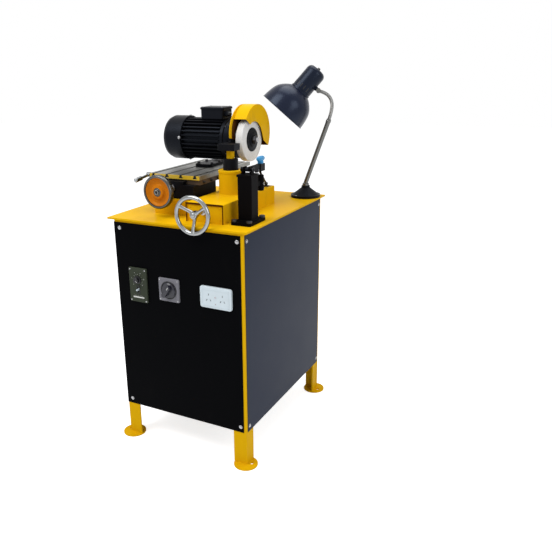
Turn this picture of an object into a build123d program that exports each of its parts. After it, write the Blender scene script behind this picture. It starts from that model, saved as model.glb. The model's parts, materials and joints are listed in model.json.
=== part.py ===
"""Circular saw blade sharpener: cabinet, lifting grinding head, T-slot slide, tooth feed and work lamp.

Millimetres. X runs to the right, Y to the rear, Z up. The origin is on the floor, midway between the
four anchor holes of the feet.
"""

from build123d import *
import math
import os

# Shared clearances, the run-out of cuts and the break of small edges
running_gap = 0.05
sliding_gap = 0.3
loose_gap = 0.6
bolt_gap = 0.25
cut_over = 1.0
edge_break = 1.5

# Cabinet frame
cabinet_width = 500.0
cabinet_depth = 640.0
leg_flange = 50.0
leg_wall = 5.0
rail_height = 40.0
rail_wall = 5.0
foot_radius = 42.0
foot_thickness = 6.0
foot_inset = 10.0
anchor_out_x = 10.0
anchor_in_y = 17.0
anchor_hole_radius = 6.0

# Table plate and panels
table_height = 837.0
table_thickness = 6.0
table_over_left = 25.0
table_over_right = 16.0
table_over_front = 6.0
table_over_rear = 8.0
panel_sheet = 1.5
panel_bottom = 130.0
panel_top_drop = 8.0
panel_inset = 9.0
panel_screw_inset_x = 12.0
panel_screw_inset_z = 20.0
screw_head_radius = 5.0
screw_head_height = 2.6
screw_shank_radius = 2.0

# Speed control on the front panel
control_drop = 230.0
control_stem_radius = 3.0
control_stem_length = 16.0
speed_from_left = 89.0
speed_plate_width = 74.0
speed_plate_height = 124.0
speed_plate_thickness = 7.0
speed_plate_corner = 4.0
speed_body_width = 58.0
speed_body_height = 100.0
speed_body_depth = 55.0
speed_knob_rise = 20.0
speed_knob_radius = 14.0
speed_knob_grip_radius = 10.5
speed_knob_skirt = 3.0
speed_knob_length = 14.0
speed_knob_flutes = 12
speed_knob_flute_radius = 1.4
speed_pointer_width = 1.6
speed_pointer_depth = 1.2
run_switch_drop = 16.0
run_slot_width = 8.0
run_slot_height = 18.0
run_slot_depth = 12.0
run_barrel_radius = 4.0
run_barrel_depth = 5.0
run_lever_side = 5.0
run_lever_show = 10.0

# Main switch and socket outlet on the front panel
switch_from_left = 216.0
switch_plate = 82.0
switch_plate_thickness = 6.0
switch_plate_corner = 5.0
switch_body = 52.0
switch_body_depth = 62.0
switch_knob_radius = 27.0
switch_knob_skirt = 7.0
switch_knob_slope = 4.0
switch_grip_width = 15.0
switch_grip_height = 15.0
switch_grip_inset = 3.0
switch_grip_round = 6.0
switch_grip_turn = 35.0
socket_from_right = 100.0
socket_width = 118.0
socket_height = 74.0
socket_thickness = 9.0
socket_corner = 8.0
socket_edge = 3.0
socket_body_width = 100.0
socket_body_height = 54.0
socket_body_depth = 38.0
socket_pair_pitch = 52.0
socket_pin_width = 2.6
socket_pin_length = 7.0
socket_pin_depth = 16.0
socket_pin_up = 10.0
socket_pin_down = 9.0
socket_pin_side = 7.0
socket_pin_tilt = 30.0

# Base box of the head
box_from_right = 116.0
box_from_front = 61.0
box_width = 142.0
box_length = 380.0
box_height = 64.0
box_wall = 4.0
box_top_plate = 6.0
box_edge_round = 3.0
cover_thickness = 8.0
cover_groove = 1.4
cover_groove_depth = 4.0
cover_inset = 4.0
cover_boss_radius = 16.0
cover_boss_length = 12.0

# Column, ram and lift
column_from_box_front = 183.0
column_wall = 16.0
column_collar_over = 1.5
column_collar_height = 8.0
column_foot_flare = 3.0
column_height = 83.0
ram_radius = 26.0
ram_show = 38.0
ram_length = 110.0
ram_edge = 2.0
ram_cavity_radius = 9.5
ram_cavity_roof = 12.0
lift_nut_length = 22.0
lift_screw_radius = 7.0
lift_drop = 12.0
lift_shaft_rise = 39.0
lift_shaft_radius = 6.0
lift_collar_over = 4.0
lift_collar_width = 10.0
thrust_collar_over = 6.0
thrust_collar_height = 9.0
bevel_pitch_radius = 16.0
bevel_face = 8.0
bevel_back = 5.0
bevel_teeth = 12
bevel_tooth = 2.4
bevel_tip = 0.5
bevel_tooth_share = 0.44

# Front handwheel
handwheel_rim_radius = 58.5
handwheel_tube_radius = 7.0
handwheel_table_gap = 4.0
handwheel_dish = 14.0
handwheel_hub_radius = 13.0
handwheel_hub_length = 24.0
handwheel_hub_edge = 3.0
handwheel_bore_wall = 6.0
handwheel_spoke_angles = (30, 150, 270)
handwheel_spoke_root = 7.5
handwheel_spoke_tip = 5.0
handwheel_spoke_flat = 0.65
handwheel_spoke_sink = 4.0

# Head bracket
neck_width = 22.0
neck_depth = 24.0
neck_height = 29.0
neck_edge = 4.0
neck_spigot_radius = 9.0
neck_spigot_depth = 10.0
saddle_left_reach = 33.0
saddle_right_reach = 31.0
saddle_front_reach = 33.0
saddle_rear_reach = 16.0
saddle_height = 22.0
saddle_corner = 6.0
web_overlap = 8.0
flange_plate_thickness = 12.0
flange_plate_radius = 66.0
flange_boss_height = 4.0
flange_boss_radius = 7.0
flange_boss_circle = 50.0
flange_boss_angles = (25, 90, 155)
flange_shaft_hole = 16.0

# Motor frame, shields and cover
motor_set_back = 105.0
motor_rise = 24.0
motor_face_offset = 29.0
shield_length = 36.0
shield_radius = 70.0
shield_rim = 12.0
shield_step = 4.0
shield_face_radius = 58.0
frame_length = 156.0
frame_core_radius = 62.0
frame_fin_radius = 74.0
frame_bore_radius = 54.0
fin_count = 30
fin_thickness = 3.6
rear_shield_length = 16.0
rear_shield_rim = 4.0
rear_shield_lip = 8.0
fan_cover_length = 84.0
fan_cover_radius = 78.0
fan_cover_sheet = 2.0
fan_cover_end_radius = 58.0
fan_cover_bend_radius = 72.0
fan_cover_bend = 10.0
fan_cover_shoulder = 24.0
fan_cover_lug = 3.0
fan_slots = 12
fan_slot_width = 5.0
fan_slot_length = 34.0
fan_slot_circle = 34.0
terminal_face_gap = 38.0
terminal_length = 90.0
terminal_width = 72.0
terminal_height = 40.0
terminal_corner = 8.0
terminal_lid = 8.0
terminal_lid_over = 3.0
terminal_foot_inset = 12.0
terminal_foot_root = 16.0
gland_across_flats = 16.0
gland_length = 14.0
gland_shift = 14.0

# Motor inside
shaft_radius = 9.5
shaft_nose_radius = 8.0
rotor_radius = 40.0
rotor_gap = 0.6
stator_length = 90.0
coil_length = 14.0
coil_step = 3.0
bearing_radius = 20.0
bearing_width = 14.0
bearing_rear_wall = 1.0
bearing_front_wall = 4.0
fan_set_back = 36.0
fan_radius = 66.0
fan_disc = 4.0
fan_hub_radius = 20.0
fan_hub_length = 24.0
fan_blades = 8
fan_blade_length = 20.0
fan_blade_thickness = 2.4
fan_shaft_end = 4.0

# Grinding wheel and guard
wheel_radius = 75.0
wheel_width = 25.0
wheel_reach = 58.0
wheel_bore_radius = 16.0
flange_radius = 41.0
flange_hub_radius = 22.5
flange_relief_radius = 24.5
flange_thickness = 7.0
flange_edge = 3.5
flange_rim = 2.0
nut_across_flats = 27.0
nut_height = 11.0
shaft_thread_show = 4.0
guard_shift_y = 23.0
guard_shift_z = 20.0
guard_radius = 99.0
guard_sheet = 2.5
guard_wheel_gap = 7.5
guard_front_angle = 147.0
guard_rear_angle = -31.0
guard_window_radius = 62.0
guard_window_reach = 59.0
guard_window_rise = 20.0
guard_spindle_notch = 30.0
guard_tail_width = 26.0
guard_front_reach = 13.0
guard_front_lift = 44.0

# Slide
slide_from_right = 364.0
pedestal_from_front = 126.0
pedestal_width = 140.0
pedestal_length = 170.0
pedestal_height = 53.0
pedestal_wall = 8.0
pedestal_corner = 6.0
slide_base_set_back = 15.0
slide_base_width = 176.0
slide_base_length = 150.0
slide_base_height = 48.0
dovetail_height = 12.0
dovetail_top_width = 100.0
dovetail_angle = 60.0
screw_groove_width = 26.0
screw_groove_depth = 26.0
screw_front_wall = 14.0
slide_screw_radius = 8.0
slide_screw_drop = 12.0
slide_screw_end = 6.0
slide_collar_over = 6.0
slide_collar_width = 6.0
saddle_set_back = 22.0
saddle_width = 206.0
saddle_length = 193.0
saddle_web = 5.3
nut_lug_width = 20.0
nut_lug_length = 30.0
table_set_back = 15.0
table_width = 208.0
table_length = 370.0
slide_table_thickness = 14.0
slide_table_corner = 3.0
slot_count = 4
slot_pitch = 57.0
slot_neck = 9.0
slot_neck_depth = 5.0
slot_head = 15.0
slot_head_depth = 6.0

# Handwheel and clamp lever of the slide
orange_wheel_radius = 57.0
orange_wheel_reach = 89.0
orange_rim_width = 9.5
orange_rim_depth = 22.0
orange_rim_edge = 3.0
orange_web_thickness = 8.0
orange_web_flare = 5.0
orange_hub_radius = 15.0
orange_hub_proud = 5.0
orange_hub_length = 34.0
orange_bolt_across = 19.0
orange_bolt_height = 6.0
clamp_set_back = 10.0
clamp_drop = 8.0
clamp_hub_radius = 9.0
clamp_hub_length = 14.0
clamp_rod_radius = 5.0
clamp_rod_length = 48.0
clamp_grip_radius = 8.0
clamp_grip_length = 38.0
clamp_grip_round = 5.0
clamp_grip_sink = 4.0
clamp_tilt = 6.0
clamp_stud_radius = 5.0
clamp_stud_depth = 8.0

# Blade arbor on the slide table
arbor_from_rear = 40.0
arbor_base_width = 70.0
arbor_base_length = 175.0
arbor_base_from_rear = 5.0
arbor_base_thickness = 10.0
arbor_base_corner = 12.0
arbor_flange_radius = 34.0
arbor_flange_height = 6.0
arbor_radius = 16.0
arbor_seat_height = 10.0
arbor_thread_radius = 9.0
arbor_nut_radius = 14.5
arbor_nut_height = 8.0
arbor_nut_notch = 4.0
arbor_shank_radius = 10.0

# Feed post and its head
post_from_right = 59.0
post_from_front = 125.0
post_side = 50.0
post_wall = 4.0
post_corner = 4.0
post_height = 151.0
post_flange_x = 72.0
post_flange_y = 112.0
post_flange_thickness = 10.0
post_flange_corner = 6.0
post_bolt_x = 27.0
post_bolt_y = 46.0
post_bolt_radius = 5.0
bolt_head_across = 17.0
bolt_head_height = 6.5
bolt_nut_height = 6.0
bolt_tail = 8.0
head_cap_thickness = 7.0
head_cap_over = 1.5
ear_thickness = 6.0
ear_spread = 8.0
ear_depth = 20.0
ear_over_pivot = 9.0
pivot_rise = 21.0
pivot_radius = 5.0
pivot_show = 3.0

# Feed lever, pawl, stroke knob and buffer
lever_thickness = 12.0
lever_height = 13.0
lever_reach = 92.0
lever_end_length = 30.0
lever_end_height = 24.0
lever_end_side = 3.0
rod_pin_radius = 4.0
rod_pin_from_end = 5.0
rod_pin_from_bottom = 5.5
rod_radius = 4.0
rod_eye_radius = 8.5
rod_eye_width = 8.0
rod_eye_gap = 1.1
rod_eye_sink = 2.0
knob_stem_radius = 4.0
knob_stem_show = 2.0
knob_bar_length = 42.0
knob_bar_radius = 8.5
knob_bar_round = 4.0
knob_collar_radius = 10.0
knob_collar_height = 10.0
knob_sink = 3.0
buffer_drop = 9.0
buffer_radius = 10.5
buffer_height = 53.0
buffer_edge = 2.0
buffer_pin_radius = 2.5
buffer_strap = 8.0
buffer_strap_height = 16.0
pawl_length = 58.0
pawl_height = 9.0
pawl_thickness = 8.0
pawl_tip_height = 2.0
pawl_tip_drop = 2.0
pawl_tip_top = 10.0
pawl_tip_under = 16.0
pawl_back = 30.0
pawl_boss_wall = 3.5
pawl_pin_radius = 3.0
pawl_clip_radius = 5.5
pawl_clip_height = 2.5
pawl_heel = 3.0

# Feed drive inside the base box
plunger_from_right = 22.0
plunger_from_rear = 25.0
plunger_radius = 5.0
plunger_point_radius = 1.3
plunger_point_height = 1.0
plunger_tip_height = 6.0
plunger_tip_gap = 0.3
plunger_guide_radius = 10.0
plunger_guide_depth = 9.0
knuckle_radius = 7.0
knuckle_rise = 10.0
cam_axis_rise = 25.0
cam_base_radius = 10.0
cam_rise = 11.0
cam_rise_degrees = 150.0
cam_rest_degrees = 105.0
cam_points = 25
cam_width = 12.0
cam_shaft_radius = 4.0
cam_shaft_sink = 10.0
gear_motor_radius = 20.0
gear_motor_from_left = 14.0
gear_motor_length = 82.0
gear_case_length = 30.0
gear_case_corner = 6.0
gear_foot_inset = 6.0
gear_foot_drop = 12.0

# Foot, tube and neck of the work lamp
lamp_from_right = 57.0
lamp_from_rear = 60.0
lamp_base_radius = 56.0
lamp_base_rim = 10.0
lamp_base_step_radius = 50.0
lamp_base_dome_radius = 26.0
lamp_base_dome_height = 28.0
lamp_base_height = 43.0
lamp_boss_radius = 16.0
lamp_boss_height = 7.0
lamp_pin_depth = 14.0
lamp_collar_radius = 12.5
lamp_collar_height = 10.0
lamp_collar_edge = 3.0
lamp_tube_radius = 8.5
lamp_tube_lean = 86.0
lamp_tube_rise = 283.0
lamp_neck_radius = 6.5
lamp_neck_route = [(102.0, 330.0), (95.0, 366.0), (70.0, 386.0), (46.0, 391.0)]
lamp_neck_bend = 40.0
lamp_ferrule_length = 8.0
lamp_ferrule_step = 0.8
lamp_knuckle_radius = 8.0
lamp_knuckle_width = 16.0

# Head of the work lamp
lamp_aim = Vector(-0.582, -0.328, -0.744)
lamp_side_hint = Vector(0.752, 0.179, -0.634)
lamp_axis_offset = 50.0
lamp_rim_to_neck = 142.0
shade_rim_radius = 90.0
shade_lip_radius = 89.0
shade_lip_height = 14.0
shade_waist_radius = 82.0
shade_waist_height = 50.0
shade_shoulder_radius = 68.0
shade_shoulder_height = 73.0
shade_crown_radius = 54.0
shade_crown_height = 86.5
shade_top_radius = 41.0
shade_depth = 96.0
shade_sheet = 1.6
socket_radius = 37.0
socket_length = 100.0
socket_ring = 7.0
socket_ring_over = 1.0
socket_round = 18.0
socket_bore_depth = 24.0
bulb_radius = 30.0
bulb_from_top = 44.0
bulb_neck_radius = 13.5
bulb_cap_depth = 22.0

# Places worked out from the sizes above
half_width = cabinet_width / 2
half_depth = cabinet_depth / 2
right_edge = half_width + table_over_right
left_edge = -half_width - table_over_left
front_edge = -half_depth - table_over_front
rear_edge = half_depth + table_over_rear
table_under = table_height - table_thickness
panel_top = table_under - panel_top_drop
panel_face_y = -half_depth - panel_sheet
control_height = table_height - control_drop
speed_x = -half_width + speed_from_left
speed_face_y = panel_face_y - speed_plate_thickness
switch_x = -half_width + switch_from_left
switch_face_y = panel_face_y - switch_plate_thickness
socket_x = half_width - socket_from_right
socket_face_y = panel_face_y - socket_thickness
box_right = right_edge - box_from_right
box_left = box_right - box_width
box_x = (box_left + box_right) / 2
box_front = front_edge + box_from_front
box_rear = box_front + box_length
box_top = table_height + box_height
box_ceiling = box_top - box_top_plate
cover_face_y = box_front + cover_inset
column_y = box_front + column_from_box_front
column_radius = ram_radius + column_wall
column_top = box_top + column_height
ram_top = column_top + ram_show
ram_bottom = ram_top - ram_length
ram_cavity_top = ram_top - neck_spigot_depth - ram_cavity_roof
lift_screw_top = ram_cavity_top - lift_drop - loose_gap
lift_shaft_height = table_height + lift_shaft_rise
handwheel_rim_y = front_edge - handwheel_table_gap - handwheel_tube_radius
handwheel_hub_y = handwheel_rim_y + handwheel_dish - handwheel_hub_length / 2
saddle_z = ram_top + neck_height
motor_y = column_y + motor_set_back
motor_z = saddle_z + motor_rise
motor_face_x = box_x - motor_face_offset
frame_right = motor_face_x - shield_length
frame_left = frame_right - frame_length
frame_middle = (frame_left + frame_right) / 2
rear_shield_left = frame_left - rear_shield_length
fan_left = rear_shield_left - fan_set_back
fan_cover_left = frame_left - fan_cover_length
terminal_seat = motor_z + shield_radius + loose_gap
terminal_right = motor_face_x - terminal_face_gap
terminal_left = terminal_right - terminal_length
terminal_top = terminal_seat + terminal_height
wheel_face_x = motor_face_x + wheel_reach
wheel_left_x = wheel_face_x - wheel_width
nut_face_x = wheel_face_x + flange_thickness
shaft_end_x = nut_face_x + nut_height + shaft_thread_show
guard_left = motor_face_x + flange_plate_thickness + flange_boss_height
guard_right = wheel_face_x + guard_wheel_gap + guard_sheet
slide_x = right_edge - slide_from_right
pedestal_front = front_edge + pedestal_from_front
pedestal_rear = pedestal_front + pedestal_length
slide_base_front = pedestal_front + slide_base_set_back
slide_base_rear = slide_base_front + slide_base_length
slide_base_z = table_height + pedestal_height
slide_way_z = slide_base_z + slide_base_height
slide_screw_z = slide_way_z - slide_screw_drop
saddle_y_front = slide_base_front + saddle_set_back
saddle_y_rear = saddle_y_front + saddle_length
saddle_top = slide_way_z + dovetail_height + saddle_web
table_front = slide_base_front + table_set_back
table_rear = table_front + table_length
table_left = slide_x - table_width / 2
slide_table_top = saddle_top + slide_table_thickness
orange_wheel_front = slide_base_front - orange_wheel_reach
orange_web_front = orange_wheel_front + (orange_rim_depth - orange_web_thickness) / 2
clamp_seat = Vector(table_left, table_front + clamp_set_back, slide_table_top - clamp_drop)
arbor_y = table_rear - arbor_from_rear
arbor_base_rear = table_rear - arbor_base_from_rear
arbor_base_top = slide_table_top + arbor_base_thickness
arbor_flange_z = arbor_base_top + sliding_gap
arbor_seat_z = arbor_flange_z + arbor_flange_height
post_x = right_edge - post_from_right
post_y = front_edge + post_from_front
post_top = table_height + post_height
post_flange_top = table_height + post_flange_thickness
pivot_height = post_top + pivot_rise
lever_top = pivot_height + lever_height / 2
lever_bottom = lever_top - lever_end_height
lever_end_y = post_y + lever_reach
lever_end_half = lever_thickness / 2 + lever_end_side
rod_pin_y = lever_end_y + lever_end_length / 2 - rod_pin_from_end
rod_pin_z = lever_bottom + rod_pin_from_bottom
rod_eye_x = post_x - lever_end_half - 2 * sliding_gap - rod_eye_width
pawl_y = lever_end_y - pawl_back
pawl_top = pivot_height - lever_height / 2 - sliding_gap
pawl_bottom = pawl_top - pawl_height
pawl_clip_z = pawl_bottom - sliding_gap - pawl_clip_height
plunger_x = box_right - plunger_from_right
plunger_y = box_rear - plunger_from_rear
knuckle_z = box_top + knuckle_rise
cam_height = table_height + cam_axis_rise
gear_motor_left = box_left + gear_motor_from_left
gear_case_left = gear_motor_left + gear_motor_length - gear_case_length
lamp_x = right_edge - lamp_from_right
lamp_y = rear_edge - lamp_from_rear
lamp_seat = Vector(lamp_x, lamp_y, table_height + lamp_base_height + sliding_gap)
lamp_tube_foot = lamp_seat + Vector(0, 0, lamp_collar_height)
lamp_tube_top = Vector(lamp_x + lamp_tube_lean, lamp_y, table_height + lamp_tube_rise)
lamp_neck_points = [Vector(lamp_x + x, lamp_y, table_height + z) for x, z in lamp_neck_route]
lamp_neck_end = lamp_neck_points[-1]

# Directions
rightward = Vector(1, 0, 0)
leftward = Vector(-1, 0, 0)
rearward = Vector(0, 1, 0)
forward = Vector(0, -1, 0)
upward = Vector(0, 0, 1)
downward = Vector(0, 0, -1)


def block(x_range, y_range, z_range):
    """Box between two values on each axis, given in either order."""
    spans = [sorted(span) for span in (x_range, y_range, z_range)]
    middle = [(low + high) / 2 for low, high in spans]
    size = [high - low for low, high in spans]
    return Pos(*middle) * Box(*size)


def about(centre, size):
    """Range of a size centred on a value."""
    return (centre - size / 2, centre + size / 2)


def rod(start, direction, radius, length):
    """Round bar that starts at a point and runs along a direction."""
    bar = Cylinder(radius, length, align=(Align.CENTER, Align.CENTER, Align.MIN))
    return Plane(origin=start, z_dir=direction) * bar


def spun(outline, origin, direction):
    """Solid from a (radius, height) outline spun about a direction."""
    return Plane(origin=origin, z_dir=direction) * revolve(Plane.XZ * outline, Axis.Z)


def turned(profile, origin, direction):
    """Solid turned from straight-sided (radius, height) points."""
    return spun(make_face(Polyline(*profile, close=True)), origin, direction)


def hexagon(start, direction, across_flats, height):
    """Hexagonal prism such as a nut or a bolt head."""
    outline = RegularPolygon(across_flats / 2, 6, major_radius=False)
    return Plane(origin=start, z_dir=direction) * extrude(outline, height)


def domed(seat, out, radius, height):
    """Low round head such as a screw's."""
    sphere_radius = (radius**2 + height**2) / (2 * height)
    half_turn = math.asin(radius / sphere_radius) / 2
    drop = sphere_radius * (1 - math.cos(half_turn))
    shoulder = (sphere_radius * math.sin(half_turn), height - drop)
    crown = ThreePointArc((radius, 0), shoulder, (0, height))
    return spun(make_face(crown + Polyline((0, height), (0, 0), (radius, 0))), seat, out)


def on_axle(x):
    """Point of the motor's axis."""
    return Vector(x, motor_y, motor_z)


def on_column(z):
    """Point of the column's axis."""
    return Vector(box_x, column_y, z)


def on_lift_shaft(y):
    """Point of the lift shaft's axis."""
    return Vector(box_x, y, lift_shaft_height)


def on_slide_screw(y):
    """Point of the axis of the slide's feed screw."""
    return Vector(slide_x, y, slide_screw_z)


def on_arbor(z):
    """Point of the blade arbor's axis."""
    return Vector(slide_x, arbor_y, z)


def corner_signs():
    """Signs of the four corners of a rectangle."""
    return [(sx, sy) for sx in (-1, 1) for sy in (-1, 1)]


def panel_screw_places():
    """Head seat and outward direction of every panel screw."""
    places = []
    low = panel_bottom + panel_screw_inset_z
    high = panel_top - panel_screw_inset_z
    across = half_width - panel_inset - panel_screw_inset_x
    along = half_depth - panel_inset - panel_screw_inset_x
    for z in (low, high):
        for side in (-1, 1):
            for shift in (-across, across):
                seat = Vector(shift, side * (half_depth + panel_sheet), z)
                places.append((seat, rearward * side))
            for shift in (-along, along):
                seat = Vector(side * (half_width + panel_sheet), shift, z)
                places.append((seat, rightward * side))
    return places


def screw_holes():
    """Clearance holes for the panel screws, through panel and leg."""
    depth = panel_sheet + leg_wall + 2 * cut_over
    radius = screw_shank_radius + bolt_gap
    return [rod(seat + out * cut_over, out * -1, radius, depth) for seat, out in panel_screw_places()]


def frame_legs():
    """Four angle-iron legs with the corner outwards."""
    legs = []
    inner_reach = leg_flange + cut_over
    for sx, sy in corner_signs():
        x_range = (sx * half_width, sx * (half_width - leg_flange))
        y_range = (sy * half_depth, sy * (half_depth - leg_flange))
        leg = block(x_range, y_range, (foot_thickness, table_under))
        x_range = (sx * (half_width - leg_wall), sx * (half_width - inner_reach))
        y_range = (sy * (half_depth - leg_wall), sy * (half_depth - inner_reach))
        leg -= block(x_range, y_range, (0, table_height))
        for hole in screw_holes():
            leg -= hole
        legs.append(leg.solid())
    return Compound(legs)


def foot_discs():
    """Four round foot plates, each with one anchor hole outside the leg."""
    discs = []
    for sx, sy in corner_signs():
        centre = Vector(sx * (half_width - foot_inset), sy * (half_depth - foot_inset), 0)
        hole = Vector(sx * (half_width + anchor_out_x), sy * (half_depth - anchor_in_y), -cut_over)
        disc = rod(centre, upward, foot_radius, foot_thickness)
        disc -= rod(hole, upward, anchor_hole_radius, foot_thickness + 2 * cut_over)
        discs.append(disc.solid())
    return Compound(discs)


def frame_rails():
    """Upper and lower rails between the legs."""
    across = about(0, cabinet_width - 2 * leg_flange)
    along = about(0, cabinet_depth - 2 * leg_flange)
    low = (panel_bottom, panel_bottom + rail_height)
    high = (table_under - rail_height, table_under)
    rails = []
    for z_range in (low, high):
        for side in (-1, 1):
            x_range = (side * half_width, side * (half_width - rail_wall))
            y_range = (side * half_depth, side * (half_depth - rail_wall))
            rails.append(block(across, y_range, z_range).solid())
            rails.append(block(x_range, along, z_range).solid())
    return Compound(rails)


def control_windows():
    """Cut-outs of the front panel for the bodies of the three controls."""
    bodies = [
        (speed_x, speed_body_width, speed_body_height),
        (switch_x, switch_body, switch_body),
        (socket_x, socket_body_width, socket_body_height),
    ]
    windows = []
    y_range = (panel_face_y - cut_over, -half_depth + cut_over)
    for x, width, height in bodies:
        x_range = about(x, width + 2 * loose_gap)
        z_range = about(control_height, height + 2 * loose_gap)
        windows.append(block(x_range, y_range, z_range))
    return windows


def front_panel():
    """Front sheet with the control cut-outs, lapped over the left side panel's edge."""
    x_range = (-half_width - panel_sheet, half_width - panel_inset)
    sheet = block(x_range, (panel_face_y, -half_depth), (panel_bottom, panel_top))
    for cut in control_windows() + screw_holes():
        sheet -= cut
    return sheet


def rear_panel():
    """Rear sheet."""
    x_range = about(0, cabinet_width - 2 * panel_inset)
    sheet = block(x_range, (half_depth, half_depth + panel_sheet), (panel_bottom, panel_top))
    for hole in screw_holes():
        sheet -= hole
    return sheet


def side_panels():
    """Left and right sheets."""
    y_range = about(0, cabinet_depth - 2 * panel_inset)
    sheets = []
    for side in (-1, 1):
        x_range = (side * half_width, side * (half_width + panel_sheet))
        sheet = block(x_range, y_range, (panel_bottom, panel_top))
        for hole in screw_holes():
            sheet -= hole
        sheets.append(sheet.solid())
    return Compound(sheets)


def panel_screws():
    """Round-head screws that hold the panels to the legs."""
    grip = panel_sheet + leg_wall
    screws = []
    for seat, out in panel_screw_places():
        shank = rod(seat - out * grip, out, screw_shank_radius, grip)
        screws.append((shank + domed(seat, out, screw_head_radius, screw_head_height)).solid())
    return Compound(screws)


def table_top():
    """Plate that closes the cabinet and carries the machine."""
    plate = block((left_edge, right_edge), (front_edge, rear_edge), (table_under, table_height))
    for place in post_bolt_places():
        start = Vector(place.X, place.Y, table_under - cut_over)
        plate -= rod(start, upward, post_bolt_radius + bolt_gap, table_thickness + 2 * cut_over)
    return plate


def face_plate(x, face_y, width, height, corner):
    """Rounded plate of a control, in front of the panel."""
    plate = block(about(x, width), (face_y, panel_face_y), about(control_height, height))
    return fillet(plate.edges().filter_by(Axis.Y), corner)


def control_body(x, width, height, depth):
    """Body of a control, behind the panel's face."""
    return block(about(x, width), (panel_face_y, panel_face_y + depth), about(control_height, height))


def stem_hole(seat):
    """Bearing hole of a knob's stem."""
    length = control_stem_length + 2 * cut_over
    return rod(seat + forward * cut_over, rearward, control_stem_radius + running_gap, length)


def speed_control():
    """Speed control: face plate in front of the panel, body behind it."""
    plate = face_plate(speed_x, speed_face_y, speed_plate_width, speed_plate_height, speed_plate_corner)
    plate = chamfer(plate.faces().sort_by(Axis.Y)[0].edges(), edge_break)
    body = control_body(speed_x, speed_body_width, speed_body_height, speed_body_depth)
    slot_y = (speed_face_y - cut_over, speed_face_y + run_slot_depth)
    slot_z = about(control_height - run_switch_drop, run_slot_height)
    slot = block(about(speed_x, run_slot_width), slot_y, slot_z)
    hole = stem_hole(Vector(speed_x, speed_face_y, control_height + speed_knob_rise))
    return plate + body - hole - slot


def speed_knob():
    """Round knob with a fluted grip and a pointer groove."""
    seat = Vector(speed_x, speed_face_y - sliding_gap, control_height + speed_knob_rise)
    knob = turned(
        [
            (0, 0),
            (speed_knob_radius, 0),
            (speed_knob_radius, speed_knob_skirt),
            (speed_knob_grip_radius, speed_knob_skirt + edge_break),
            (speed_knob_grip_radius, speed_knob_length - edge_break),
            (speed_knob_grip_radius - edge_break, speed_knob_length),
            (0, speed_knob_length),
        ],
        seat,
        forward,
    )
    flute_start = forward * (speed_knob_skirt + edge_break)
    for index in range(speed_knob_flutes):
        turn = math.radians(360 / speed_knob_flutes * (index + 0.5))
        run = Vector(math.cos(turn), 0, math.sin(turn)) * speed_knob_grip_radius
        knob -= rod(seat + run + flute_start, forward, speed_knob_flute_radius, speed_knob_length)
    end_y = seat.Y - speed_knob_length
    groove_y = (end_y - cut_over, end_y + speed_pointer_depth)
    knob -= block(about(speed_x, speed_pointer_width), groove_y, (seat.Z, seat.Z + speed_knob_radius))
    return knob + rod(seat, rearward, control_stem_radius, control_stem_length)


def run_switch():
    """Small rocker lever below the speed knob."""
    z = control_height - run_switch_drop
    axis_y = speed_face_y + run_barrel_depth
    barrel_width = run_slot_width - 2 * loose_gap
    barrel = rod(Vector(speed_x - barrel_width / 2, axis_y, z), rightward, run_barrel_radius, barrel_width)
    lever_y = (speed_face_y - run_lever_show, axis_y)
    lever = block(about(speed_x, run_lever_side), lever_y, about(z, run_lever_side))
    return barrel + fillet(lever.edges().filter_by(Axis.X), edge_break)


def main_switch():
    """Rotary switch: square face plate in front of the panel, body behind it."""
    plate = face_plate(switch_x, switch_face_y, switch_plate, switch_plate, switch_plate_corner)
    plate = chamfer(plate.faces().sort_by(Axis.Y)[0].edges(), edge_break)
    body = control_body(switch_x, switch_body, switch_body, switch_body_depth)
    return plate + body - stem_hole(Vector(switch_x, switch_face_y, control_height))


def main_switch_knob():
    """Round skirt with a rounded grip bar turned across it."""
    seat = Vector(switch_x, switch_face_y - sliding_gap, control_height)
    skirt = turned(
        [
            (0, 0),
            (switch_knob_radius, 0),
            (switch_knob_radius, switch_knob_skirt / 2),
            (switch_knob_radius - switch_knob_slope, switch_knob_skirt),
            (0, switch_knob_skirt),
        ],
        seat,
        forward,
    )
    reach = 2 * (switch_knob_radius - switch_grip_inset)
    grip_y = (-switch_knob_skirt - switch_grip_height, -switch_knob_skirt / 2)
    grip = block(about(0, switch_grip_width), grip_y, about(0, reach))
    grip = fillet(grip.edges().filter_by(Axis.Y), switch_grip_round)
    grip = chamfer(grip.faces().sort_by(Axis.Y)[0].edges(), edge_break)
    knob = skirt + Pos(*seat) * Rot(0, switch_grip_turn, 0) * grip
    return knob + rod(seat, rearward, control_stem_radius, control_stem_length)


def socket_outlet():
    """White socket outlet with a frame and two sets of pin slots."""
    plate = face_plate(socket_x, socket_face_y, socket_width, socket_height, socket_corner)
    plate = fillet(plate.faces().sort_by(Axis.Y)[0].edges(), socket_edge)
    outlet = plate + control_body(socket_x, socket_body_width, socket_body_height, socket_body_depth)
    pin = block(
        about(0, socket_pin_width),
        (-cut_over, socket_pin_depth),
        about(0, socket_pin_length),
    )
    for side in (-1, 1):
        middle = socket_x + side * socket_pair_pitch / 2
        low = control_height - socket_pin_down
        outlet -= Pos(middle, socket_face_y, control_height + socket_pin_up) * pin
        for lean in (-1, 1):
            place = Pos(middle + lean * socket_pin_side, socket_face_y, low)
            outlet -= place * Rot(0, -lean * socket_pin_tilt, 0) * pin
    return outlet


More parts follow.
